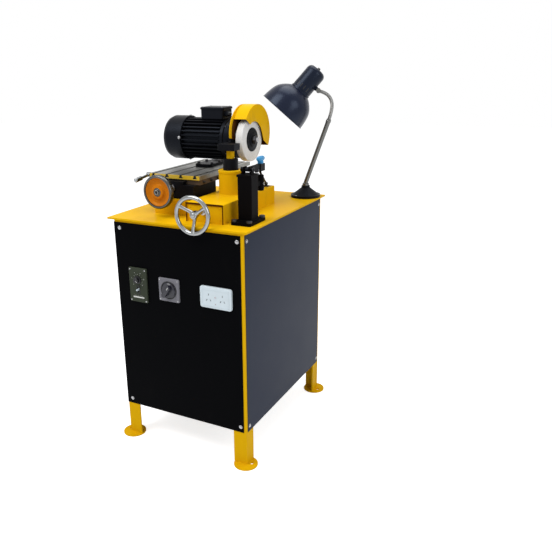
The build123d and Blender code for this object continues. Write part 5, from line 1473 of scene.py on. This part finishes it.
@dataclass
class Spindle(Assembly):
    """Grinding wheel with its flanges and nut."""

    axis_y: float = 23.0
    axis_z: float = 1075.0
    wheel_x: float = 83.0
    width: float = 25.0
    radius: float = 75.0
    bore: float = 16.2
    edge: float = 1.2
    edge_slope: float = 0.3
    shaft: float = 8.1
    sleeve_gap: float = 0.3
    thick: float = 7.0
    dish: Profile = ((41, 0), (41, 1.6), (40.2, 2.4), (26, 4.4), (24.5, 6.4))
    lip: float = 23.5
    nut_size: Nut = Nut(27.0, 11.0, 1.4)
    nut_thread: Thread = Thread(8.0, 4.0, 1.3, 28, 0.3)
    hole: Profile = ((0, 0.2), (2.6, 0.2), (2.9, -0.6), (0, -0.6))
    hole_radius: float = 32.0
    hole_rise: float = 3.6

    def build(self) -> None:
        """Wheel, flanges, nut and the painted shade of spanner holes."""
        self.wheel()
        self.flanges()
        self.nut()
        self.spanner_holes()

    def place(self, right: float) -> Matrix:
        """Place on the spindle's axis, to the right of the wheel's left face and looking right."""
        return stand(mm(self.wheel_x + right, self.axis_y, self.axis_z), RIGHT)

    def wheel(self) -> None:
        """Abrasive wheel with dressed edges."""
        rim, slope, width = self.radius - self.edge, self.edge * self.edge_slope, self.width
        section = [(self.bore, 0), (rim, 0), (self.radius - slope, slope), (self.radius, self.edge)]
        section += [(self.radius, width - self.edge), (self.radius - slope, width - slope), (rim, width)]
        wheel = self.piece("abrasive_wheel", ABRASIVE, "spindle", "abrasive_white", "grinding_wheel")
        wheel.ring([*section, (self.bore, width)], self.place(0), steps=120)

    def flanges(self) -> None:
        """Dished flanges on both sides of the wheel and the sleeve in its bore."""
        plates = self.piece("wheel_clamp_flanges", BLACK_CAST, "spindle", "black_flange", "wheel_flanges")
        inner, outer, width = self.shaft, self.bore - self.sleeve_gap, self.width
        flange = [(inner, 0), *self.dish, (self.lip, self.thick), (inner, self.thick)]
        plates.ring(flange, self.place(width), steps=72)
        plates.ring(flange, self.place(0) @ Matrix.Rotation(math.pi, 4, "X"), steps=72)
        plates.ring([(inner, 0), (outer, 0), (outer, width), (inner, width)], self.place(0), steps=48)

    def nut(self) -> None:
        """Nut on the end of the spindle's thread."""
        nut = self.piece("spindle_nut", DARK_STEEL, "spindle", "steel")
        nut.locked(self.nut_size, self.nut_thread, self.place(self.width + self.thick))

    def spanner_holes(self) -> None:
        """Dark discs on the front flange, the painted shade of holes for a pin spanner."""
        holes = self.piece("flange_spanner_hole_shades", DARK_INK_AND_SHADE, "spindle", "black_flange")
        for side in SIDES:
            spot = Matrix.Translation((0, side * self.hole_radius * MM, 0))
            holes.turn(self.hole, self.place(self.width + self.hole_rise) @ spot, steps=20)


@dataclass
class Slide(Assembly):
    """Dovetail slide with its handwheel, dial, T-slot table and blade arbor."""

    axis_x: float = -98.0
    screw_z: float = 926.0
    wheel_y: float = -274.0
    rim: Profile = (
        (47.5, -19), (47.5, -3), (48.6, -1), (51.5, 0), (54, -0.6), (56, -2.4), (57, -5.5), (57, -16.5),
        (56, -19.6), (54, -21.4), (51.5, -22), (48.6, -21),
    )
    web: Profile = (
        (14.8, -1.6), (20, -1.6), (22, -2.6), (25, -8.6), (28, -10.6), (36, -10.9), (40, -9.6),
        (44, -5.2), (45.4, -4.2), (47.7, -4), (47.7, -14.4), (40, -15.6), (26, -15.8), (20, -17.5),
        (17, -24), (14.8, -24),
    )
    hub: Profile = (
        (8.1, -36), (14, -36), (15, -35), (15, -3), (13.8, -2), (11, -2), (10.4, -3), (8.1, -3)
    )
    bolt_washer: Profile = ((0, -4), (10.6, -4), (10.6, -2.6), (10, -2), (0, -2))
    bolt_head: Profile = (
        (0, 0.6), (5.2, 0.6), (5.2, 3), (5.7, 3.6), (8.3, 3.6), (9.2, 2.8), (9.2, -2.2), (0, -2.2)
    )
    bolt_recess: Profile = ((0, 0.3), (5.1, 0.3), (5.1, 1.6), (4.4, 2), (0, 1.2))
    dial_y: float = -236.0
    dial_radius: float = 19.0
    dial_width: float = 16.0
    dial_bore: float = 8.1
    dial_steps: Profile = ((-3, 0), (-2, 1), (-2, 4), (-1, 5), (0, 6))
    dial_edge: float = 1.0
    dial_count: int = 40
    dial_margin: float = 1.2
    dial_tick: Stroke = Stroke(5.0, 0.5, 0.2, 0.05)
    dial_short_tick: Stroke = Stroke(3.0, 0.5, 0.2, 0.05)
    gib_nut: Nut = Nut(10.0, 4.0, 0.6)
    gib_thread: Thread = Thread(2.9, 4.2, 1.0, 20, 0.4)
    gib_x: float = 5.0
    gib_z: float = 946.0
    gib_rows: Row = (-141.0, -92.0, -43.0, 6.0)
    clamp_bolt: Hexagon = Hexagon(10.0, 4.4, 6.2)
    clamp_rows: Row = (42.0, 98.0)
    slot_half: float = 28.5
    arbor_base_z: float = 979.3

    finishes: ClassVar[Looks] = {
        "slide_pedestal": (YELLOW, 1.0),
        "slide_base": (BLACK_CAST, 0.7),
        "table_saddle": (SADDLE_GREY, 0.6),
        "slide_table": (TABLE_STEEL, 0.4),
        "slide_screw": (STEEL, 0.3),
        "clamp_lever": (CHROME, 0.4),
        "arbor_base": (BLACK_CAST, 0.7),
        "blade_arbor": (STEEL, 0.4),
        "arbor_nut": (STEEL, 0.4),
    }

    def build(self) -> None:
        """Handwheel, dial, gib screws and clamp bolts."""
        self.handwheel()
        self.dial()
        self.gib_screws()
        self.clamp_bolts()

    def handwheel(self) -> None:
        """Solid wheel: chromed rim, orange web, turned hub and its bolt, with painted shade in the bolt's
        recess.
        """
        place = stand(mm(self.axis_x, self.wheel_y, self.screw_z), FRONT, RIGHT)
        rim = self.piece("slide_wheel_rim", WORN_CHROME, "slide_screw", "chrome", "slide_handwheel")
        rim.ring(self.rim, place, steps=96)
        web = self.piece("slide_wheel_web", ORANGE, "slide_screw", "orange_wheel")
        web.ring(self.web, place, steps=96)
        hub = self.piece("slide_wheel_hub", WORN_CHROME, "slide_screw", "steel")
        hub.ring(self.hub, place, steps=56)
        bolt = self.piece("slide_wheel_bolt", NICKEL, "slide_screw", "steel")
        bolt.turn(self.bolt_washer, place, steps=36)
        bolt.turn(self.bolt_head, place, steps=6)
        # A dark plug in the bolt's hexagon recess is painted shade.
        recess = self.piece("slide_wheel_bolt_recess_shade", DARK_INK_AND_SHADE, "slide_screw", "black_plastic")
        recess.turn(self.bolt_recess, place, steps=6)

    def dial(self) -> None:
        """Graduated collar behind the handwheel."""
        bore, radius, width, edge = self.dial_bore, self.dial_radius, self.dial_width, self.dial_edge
        section = [(bore, 0), *((radius + out, up) for out, up in self.dial_steps)]
        section += [(radius, width - edge), (radius - edge, width), (bore, width)]
        collar = self.piece("slide_dial", CHROME, "slide_screw", "chrome")
        collar.ring(section, stand(mm(self.axis_x, self.dial_y, self.screw_z), REAR, RIGHT), steps=80)
        marks = self.piece("slide_dial_marks", DARK_INK_AND_SHADE, "slide_screw", "black_plastic")
        for index in range(self.dial_count):
            out = swung(RIGHT, UP, 360 * index / self.dial_count)
            tick = self.dial_short_tick if index % 5 else self.dial_tick
            y = self.dial_y + width - self.dial_margin - tick.length / 2
            spot = mm(self.axis_x, y, self.screw_z) + out * radius * MM
            marks.stroke(tick, stand(spot, out, REAR))

    def gib_screws(self) -> None:
        """Gib screws with lock nuts along the right side of the saddle."""
        screws = self.piece("gib_screws", DARK_STEEL, "table", "steel")
        for row in self.gib_rows:
            place = stand(mm(self.gib_x, row, self.gib_z), RIGHT)
            screws.locked(self.gib_nut, self.gib_thread, place)

    def clamp_bolts(self) -> None:
        """Bolts that clamp the arbor base in the two inner slots."""
        bolts = self.piece("arbor_clamp_bolts", DARK_STEEL, "table", "steel")
        for row, side in product(self.clamp_rows, SIDES):
            spot = mm(self.axis_x + side * self.slot_half, row, self.arbor_base_z)
            bolts.bolt(self.clamp_bolt, stand(spot, UP, RIGHT))


@dataclass
class Feed(Assembly):
    """Post, lever, pawl and push rod of the tooth feed."""

    post: Pair = (207.0, -201.0)
    weld_half: float = 25.4
    weld_radius: float = 2.6
    weld_rise: float = 0.4
    flange_top: float = 847.0
    table_under: float = 831.0
    bolt: Hexagon = Hexagon(17.0, 6.2, 9.0)
    bolt_half: Pair = (27.0, 46.0)
    bolt_nut: Nut = Nut(17.0, 6.0, 0.8)
    bolt_thread: Thread = Thread(5.0, 7.6, 1.5, 20, 0.0)
    pivot_z: float = 1009.0
    pin_reach: float = 21.6
    clip: Profile = ((4.4, -0.6), (7.8, -0.6), (7.8, 0.6), (4.4, 0.6))
    knob_y: float = -109.0
    knob_seat: float = 1015.8
    knob_collar: Profile = (
        (0, 0), (9.2, 0), (10, 0.8), (10, 3), (9.4, 3.6), (10, 4.2), (10, 6), (9.4, 6.6), (9.8, 7.4),
        (8, 11), (0, 12),
    )
    knob_washer: Profile = ((4.05, -1.4), (7.6, -1.4), (8.2, -0.8), (8.2, -0.1), (4.05, -0.1))
    knob_steps: int = 24
    knob_rise: float = 15.5
    knob_half: float = 21.0
    knob_radius: float = 8.5
    knob_tip: float = 0.4
    knob_squareness: int = 7
    knob_swell: float = 0.03
    stud_length: float = 26.3
    stud_radius: float = 4.0
    rod_pin: Point = (188.8, -99.0, 997.0)
    rod_pin_head: Profile = ((0, 0), (5.8, 0), (6.2, -0.5), (6.2, -1.2), (0, -1.2))
    rod_low: Point = (128.0, 90.0, 911.0)
    rod_high: Point = (193.4, -99.0, 997.0)
    rod_nut: Nut = Nut(11.0, 5.0, 0.7)
    rod_thread: Thread = Thread(4.5, 15.0, 1.25, 24, 0.2)
    rod_nut_drop: float = 11.0
    box_top: float = 901.0
    wiper: Profile = ((5.5, 0), (12.5, 0), (12.5, 1.4), (11, 2.6), (7.5, 3), (5.5, 2.2))

    finishes: ClassVar[Looks] = {
        "feed_post": (POST_BLACK, 0.7),
        "post_head": (POST_BLACK, 0.6),
        "pawl_lever": (BLACK_CAST, 0.5),
        "feed_pawl": (DARK_STEEL, 0.3),
        "lever_buffer": (POST_BLACK, 0.5),
        "feed_rod": (DARK_STEEL, 0.0),
        "feed_cam": (STEEL, 0.2),
        "feed_motor": (BLACK_MOTOR, 0.4),
    }

    def build(self) -> None:
        """Bolts, knob, clips, rod nut and weld beads."""
        self.hold_down()
        self.knob()
        self.clips()
        self.rod_parts()
        self.post_weld()

    def hold_down(self) -> None:
        """Four hexagon bolts through the table, with washers and nuts."""
        bolts = self.piece("post_bolts", DARK_STEEL, "stand", "steel", "hold_down_bolts")
        for sx, sy in product(SIDES, SIDES):
            x = self.post[0] + sx * self.bolt_half[0]
            y = self.post[1] + sy * self.bolt_half[1]
            side = (math.cos(sx + 2 * sy), math.sin(sx + 2 * sy), 0)
            bolts.bolt(self.bolt, stand(mm(x, y, self.flange_top), UP, side))
            below = stand(mm(x, y, self.table_under), -UP, side)
            bolts.locked(self.bolt_nut, self.bolt_thread, below)

    def knob(self) -> None:
        """Moulded T-knob on the stroke screw."""
        knob = self.piece("stroke_t_knob", BLUE_PLASTIC, "stroke_knob", "blue_plastic", "stroke_knob")
        seat = mm(self.post[0], self.knob_y, self.knob_seat)
        place = stand(seat, UP, RIGHT)
        knob.turn(self.knob_collar, place, steps=40)
        line, radii = [], []
        for step in range(self.knob_steps + 1):
            share = math.sin((step / self.knob_steps - 0.5) * math.pi)
            line.append(seat + (UP * self.knob_rise + REAR * share * self.knob_half) * MM)
            round_end = math.sqrt(1 - abs(share) ** self.knob_squareness)
            swell = 1 + self.knob_swell * math.cos(share * 3)
            radii.append(max(self.knob_tip, self.knob_radius * round_end * swell))
        knob.hose(line, radii, steps=32)
        low = seat - UP * self.stud_length * MM
        knob.bar(low, seat + UP * MM, self.stud_radius, self.stud_radius, steps=24)
        washer = self.piece("stroke_knob_washer", BRIGHT, "stroke_knob", "steel")
        washer.ring(self.knob_washer, place, steps=36)

    def clips(self) -> None:
        """Retaining clips on the lever's pins."""
        clips = self.piece("lever_pin_clips", DARK_STEEL, "pawl_lever", "steel")
        for side in SIDES:
            spot = mm(self.post[0] + side * self.pin_reach, self.post[1], self.pivot_z)
            clips.ring(self.clip, stand(spot, RIGHT), steps=36)
        clips.turn(self.rod_pin_head, stand(mm(*self.rod_pin), RIGHT), steps=32)

    def rod_parts(self) -> None:
        """Lock nut under the rod's eye and the wiper ring of its plunger."""
        low, high = mm(*self.rod_low), mm(*self.rod_high)
        along = (low - high).normalized()
        place = stand(high + along * self.rod_nut_drop * MM, along)
        nut = self.piece("rod_lock_nut", DARK_STEEL, "feed_rod", "steel")
        nut.locked(self.rod_nut, self.rod_thread, place)
        wiper = self.piece("plunger_wiper", RUBBER, "stand", "black_plastic")
        wiper.ring(self.wiper, stand(mm(*self.rod_low[:2], self.box_top), UP), steps=40)

    def post_weld(self) -> None:
        """Weld bead round the foot of the post."""
        beads = self.piece("post_weld_beads", POST_BLACK, "stand", "black_steel")
        middle = mm(*self.post, self.flange_top + self.weld_rise)
        round_post = [mm(sx, sy, 0) * self.weld_half for sx, sy in ((-1, -1), (1, -1), (1, 1), (-1, 1))]
        for first, second in zip(round_post, round_post[1:] + round_post[:1]):
            beads.bead(middle + first, middle + second, self.weld_radius)


@dataclass
class Lamp(Assembly):
    """Work lamp: foot, tube, flexible neck, shade, socket and bulb."""

    foot: Point = (209.0, 268.0, 847.0)
    foot_screw: Screw = Screw(2.5, 1.4, 0.8)
    foot_screw_radius: float = 53.0
    foot_turns: Row = (250.0, 370.0, 490.0)
    tube_foot: Point = (209.0, 268.0, 890.3)
    tube_top: Point = (295.0, 268.0, 1120.0)
    ferrule: Profile = ((0, -2), (9.2, -2), (9.2, 3), (8.4, 4), (8, 9), (6.2, 10), (0, 10))
    neck_start: float = 6.0
    neck: Profile = ((311.0, 1167.0), (304.0, 1203.0), (279.0, 1223.0), (255.0, 1228.0))
    ribs: int = 66
    rib_radius: float = 6.25
    groove_radius: float = 5.9
    neck_end: float = 6.0
    knuckle: float = 8.0
    grip_foot: Profile = ((0, 8), (7.4, 8), (8.6, 9))
    grip_rows: Row = (9.6, 11.2, 12.8, 14.4)
    grip_groove: Profile = ((8.6, 0), (8, 0.6), (8.6, 1.2))
    grip_top: Profile = ((7.6, 17), (0, 17.6))
    knuckle_height: float = 142.0
    rim: Point = (135.447, 212.870, 1154.980)
    aim: Point = (-0.582, -0.328, -0.744)
    side: Point = (0.752, 0.179, -0.634)
    bell: Profile = (
        (90, 0), (89.7, 6), (89, 14), (87.3, 26), (85, 38), (82, 49.6), (78, 59.4), (73.2, 67.2),
        (68, 73.4), (61.4, 80.4), (54, 86.8), (47.4, 91.8), (41, 96),
    )
    bell_hole: float = 16.0
    roll_middle: Pair = (89.4, 0.6)
    roll_radius: float = 1.9
    shoulder: float = 60.0
    sheet: float = 1.4
    liner_gaps: Pair = (0.1, 0.5)
    socket_low: float = 96.0
    socket_high: float = 196.0
    socket_radius: float = 37.0
    socket_bore: float = 14.2
    socket_pocket: float = 6.0
    socket_collar: Profile = ((2, 0), (2, 6), (1, 7), (0, 7.6))
    socket_crown: Profile = ((0, -18), (-1.4, -11), (-5.3, -5.3), (-11, -1.4), (-18, 0))
    boss_reach: Pair = (30.0, 41.7)
    boss_radii: Pair = (8.6, 8.0)
    slot_count: int = 16
    slot: Point = (0.6, 3.4, 16.0)
    slot_soft: float = 0.25
    slot_rise: float = 20.0
    button: Profile = (
        (0, -0.4), (8, -0.4), (8, 1.2), (7.2, 2), (5.4, 2), (5.2, 5.4), (4, 6.4), (0, 6.4)
    )
    bulb_height: float = 52.0
    bulb_radius: float = 30.0
    bulb_turns: range = range(-81, 55, 9)
    bulb_neck: Profile = ((14.6, 80.5), (13.4, 85), (13.3, 100), (0, 100))

    finishes: ClassVar[Looks] = {
        "lamp_base": (BLACK_CAST, 0.6),
        "lamp_arm": (TUBE_NICKEL, 0.3),
    }

    @property
    def head(self) -> Matrix:
        """Place at the middle of the shade's rim, with its Z towards the socket."""
        return stand(mm(*self.rim), -Vector(self.aim), self.side)

    def build(self) -> None:
        """Neck, shade, socket, bulb and foot screws."""
        self.flexible_neck()
        self.shade()
        self.socket()
        self.bulb()
        self.foot_screws()

    def flexible_neck(self) -> None:
        """Ribbed neck from the tube to the tilt knuckle, with its fittings."""
        top, foot = mm(*self.tube_top), mm(*self.tube_foot)
        along = (top - foot).normalized()
        stops = [top + along * self.neck_start * MM] + [mm(x, self.foot[1], z) for x, z in self.neck]
        middles = [(first + second) / 2 for first, second in zip(stops[1:], stops[2:-1])]
        line, radii = [], []
        for first, bend, last in zip(stops[:1] + middles, stops[1:-1], middles + stops[-1:]):
            for step in range(self.ribs):
                share = step / self.ribs
                line.append(first * (1 - share) ** 2 + bend * 2 * share * (1 - share) + last * share**2)
                radii.append(self.rib_radius if step % 2 else self.groove_radius)
        neck = self.piece("lamp_flexible_neck", NICKEL, "lamp_arm", "steel", "lamp_gooseneck")
        neck.hose(line + stops[-1:], radii + [self.neck_end], steps=18)
        fittings = self.piece("lamp_neck_fittings", TUBE_NICKEL, "lamp_arm", "chrome")
        fittings.turn(self.ferrule, stand(top, along), steps=36)
        swing = (self.head.to_3x3() @ REAR).normalized()
        reach = swing * self.knuckle * MM
        fittings.bar(stops[-1] - reach, stops[-1] + reach, self.knuckle, self.knuckle, steps=32)
        grooves = [(radius, low + up) for low, (radius, up) in product(self.grip_rows, self.grip_groove)]
        fittings.turn([*self.grip_foot, *grooves, *self.grip_top], stand(stops[-1], -swing), steps=28)

    def shade(self) -> None:
        """Spun bell with a rolled rim and a pale enamel inside."""
        hole, top, sheet = self.bell_hole, self.socket_low, self.sheet
        drops = [sheet if height > self.shoulder else 0 for _, height in self.bell]
        inner = [(radius - sheet, height - drop) for (radius, height), drop in zip(self.bell, drops)]
        shell = self.piece("lamp_bell", LAMP_BLACK, "lamp_head", "lamp_black", "lamp_shade")
        shell.ring([*self.bell, (hole, top), (hole, top - sheet), *inner[::-1]], self.head, steps=96)
        shell.ring(circle(*self.roll_middle, self.roll_radius, steps=10), self.head, steps=96)
        liner = self.piece("lamp_bell_liner", LINER, "lamp_head", "lamp_black")
        skin, deep = (
            [(radius - sheet - gap, height - gap) for radius, height in inner[1:]] for gap in self.liner_gaps
        )
        liner.ring(skin + deep[::-1], self.head, steps=96)

    def socket(self) -> None:
        """Socket housing with its collar and knuckle boss, the painted shade of its vent slots and the button
        on it.
        """
        low, high, radius = self.socket_low, self.socket_high, self.socket_radius
        pocket, bore = low + self.socket_pocket, self.socket_bore
        profile = [(0, pocket), (bore, pocket), (bore, low)]
        profile += [(radius + out, low + up) for out, up in self.socket_collar]
        profile += [(radius + out, high + up) for out, up in self.socket_crown]
        housing = self.piece(
            "lamp_socket_shell", SOCKET_BLACK, "lamp_head", "lamp_socket_black", "lamp_socket"
        )
        housing.turn([*profile, (0, high)], self.head, steps=72)
        middle = raised(self.head, self.knuckle_height).translation
        out = (self.head.to_3x3() @ RIGHT).normalized()
        start, end = (middle + out * reach * MM for reach in self.boss_reach)
        housing.bar(start, end, *self.boss_radii, steps=32)
        # Thin dark blocks on the housing are painted shade of vent slots.
        slots = self.piece("lamp_socket_slot_shades_and_button", BLACK_PLASTIC, "lamp_head", "lamp_socket_black")
        for index in range(self.slot_count):
            turn = Matrix.Rotation(math.tau * (index + 0.5) / self.slot_count, 4, "Z")
            spot = self.head @ turn @ Matrix.Translation(mm(radius, 0, low + self.slot_rise))
            slots.block(self.slot, spot, self.slot_soft, segments=1)
        slots.turn(self.button, raised(self.head, high), steps=32)

    def bulb(self) -> None:
        """Frosted globe bulb with a neck."""
        globe = [(0.0, self.bulb_height - self.bulb_radius)]
        for degrees in self.bulb_turns:
            turn = math.radians(degrees)
            rise = self.bulb_radius * math.sin(turn)
            globe.append((self.bulb_radius * math.cos(turn), self.bulb_height + rise))
        bulb = self.piece("lamp_globe", BULB, "lamp_head", "bulb_glass", "lamp_bulb")
        bulb.turn([*globe, *self.bulb_neck], self.head, steps=56)

    def foot_screws(self) -> None:
        """Three small screws through the rim of the lamp's foot."""
        screws = self.piece("lamp_foot_screws", BRIGHT, "stand", "steel")
        for turn in self.foot_turns:
            out = swung(RIGHT, REAR, turn)
            spot = mm(*self.foot) + out * self.foot_screw_radius * MM
            screws.slotted(self.foot_screw, stand(spot, UP, out))


@dataclass
class Stage:
    """Floor, light and camera, in metres."""

    floor_half: float = 12.0
    floor_tones: tuple[Colour, Colour] = ((0.9, 0.9, 0.9), (0.92, 0.92, 0.92))
    floor_glow: float = 0.74
    sky: Colour = (0.95, 0.97, 1.0)
    sky_strength: float = 0.4
    lamps: tuple[tuple[str, Point, Point, float, float], ...] = (
        ("key_light", (-1.0, -1.8, 3.5), (0.0, 0.0, 0.75), 2.0, 76.0),
        ("fill_light", (2.9, -0.9, 2.0), (0.1, 0.0, 0.8), 1.6, 26.0),
        ("top_light", (0.2, 0.6, 3.2), (0.0, 0.0, 0.9), 1.8, 31.0),
    )
    camera_at: Point = (1.17398, -2.02514, 1.33158)
    yaw: float = 28.98
    pitch: float = 18.158
    roll: float = -1.244
    focal_pixels: float = 650.61
    principal_x: float = 237.89
    frame_pixels: float = 552.0
    sensor: float = 36.0

    def build(self) -> None:
        """Make floor, world, lamps and camera."""
        self.floor()
        self.world()
        for lamp in self.lamps:
            self.lamp(*lamp)
        self.camera()

    def floor(self) -> None:
        """Pale floor under the feet."""
        mesh = bmesh.new()
        bmesh.ops.create_grid(mesh, x_segments=1, y_segments=1, size=self.floor_half)
        data = bpy.data.meshes.new("floor")
        mesh.to_mesh(data)
        mesh.free()
        floor = link("floor", data)
        graph = Graph(bpy.data.materials.new("pale_floor"))
        colour = graph.mix(*self.floor_tones, graph.noise(scale=2.0, detail=2.0))
        plain = graph.node("ShaderNodeBsdfDiffuse", {"Color": colour})
        glow = graph.node("ShaderNodeEmission", {"Color": WHITE, "Strength": self.floor_glow})
        both = graph.node("ShaderNodeAddShader", {0: plain.outputs[0], 1: glow.outputs[0]})
        graph.close("ShaderNodeOutputMaterial", graph.blend(self.shown(graph), plain, both))
        data.materials.append(graph.owner)

    def shown(self, graph: Graph) -> Value:
        """One where the surroundings are seen, straight, mirrored or through glass.

        Args:
            graph: Node tree that asks.

        Returns:
            The mask.
        """
        path = graph.node("ShaderNodeLightPath").outputs
        names = ("Is Camera Ray", "Is Glossy Ray", "Is Transmission Ray")
        straight, mirrored, through = (Value(graph, path[name]) for name in names)
        return straight.larger(mirrored).larger(through)

    def world(self) -> None:
        """White surroundings, softer as a light than as a background."""
        world = bpy.data.worlds.new("studio")
        bpy.context.scene.world = world
        graph = Graph(world)
        soft = graph.node("ShaderNodeBackground", {"Color": self.sky, "Strength": self.sky_strength})
        white = graph.node("ShaderNodeBackground", {"Color": WHITE, "Strength": 1.0})
        graph.close("ShaderNodeOutputWorld", graph.blend(self.shown(graph), soft, white))

    def lamp(self, name: str, place: Point, target: Point, size: float, power: float) -> None:
        """Square soft light.

        Args:
            name: Name of the lamp.
            place: Where it stands.
            target: What it looks at.
            size: Side of the square.
            power: Watts.
        """
        data = bpy.data.lights.new(name, "AREA")
        data.size = size
        data.energy = power
        lamp = link(name, data)
        lamp.location = place
        lamp.rotation_euler = (Vector(target) - Vector(place)).to_track_quat("-Z", "Y").to_euler()

    def camera(self) -> None:
        """Camera at the viewing angle of the picture."""
        yaw, pitch, roll = (math.radians(angle) for angle in (self.yaw, self.pitch, self.roll))
        ahead = Vector((-math.sin(yaw) * math.cos(pitch), math.cos(yaw) * math.cos(pitch), -math.sin(pitch)))
        right = Vector((math.cos(yaw), math.sin(yaw), 0.0))
        up = right.cross(ahead)
        turned_right = math.cos(roll) * right + math.sin(roll) * up
        turned_up = math.cos(roll) * up - math.sin(roll) * right
        data = bpy.data.cameras.new("camera")
        data.sensor_width = self.sensor
        data.lens = self.focal_pixels / self.frame_pixels * self.sensor
        data.shift_x = (self.frame_pixels / 2 - self.principal_x) / self.frame_pixels
        camera = link("camera", data)
        basis = Matrix((turned_right, turned_up, -ahead)).transposed()
        camera.matrix_world = Matrix.Translation(self.camera_at) @ basis.to_4x4()
        bpy.context.scene.camera = camera


def main() -> None:
    """Build the whole picture."""
    logging.basicConfig(level=logging.INFO, format="%(name)s: %(message)s")
    shop = Shop(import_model())
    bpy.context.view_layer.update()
    bpy.context.scene.view_settings.view_transform = "Standard"
    Stage().build()
    for kind in (Cabinet, Controls, Lift, Head, Spindle, Slide, Feed, Lamp):
        assembly = kind(shop)
        assembly.dress()
        assembly.build()
        assembly.cast()
        LOG.info("finished %s", kind.__name__)


if __name__ == "__main__":
    main()
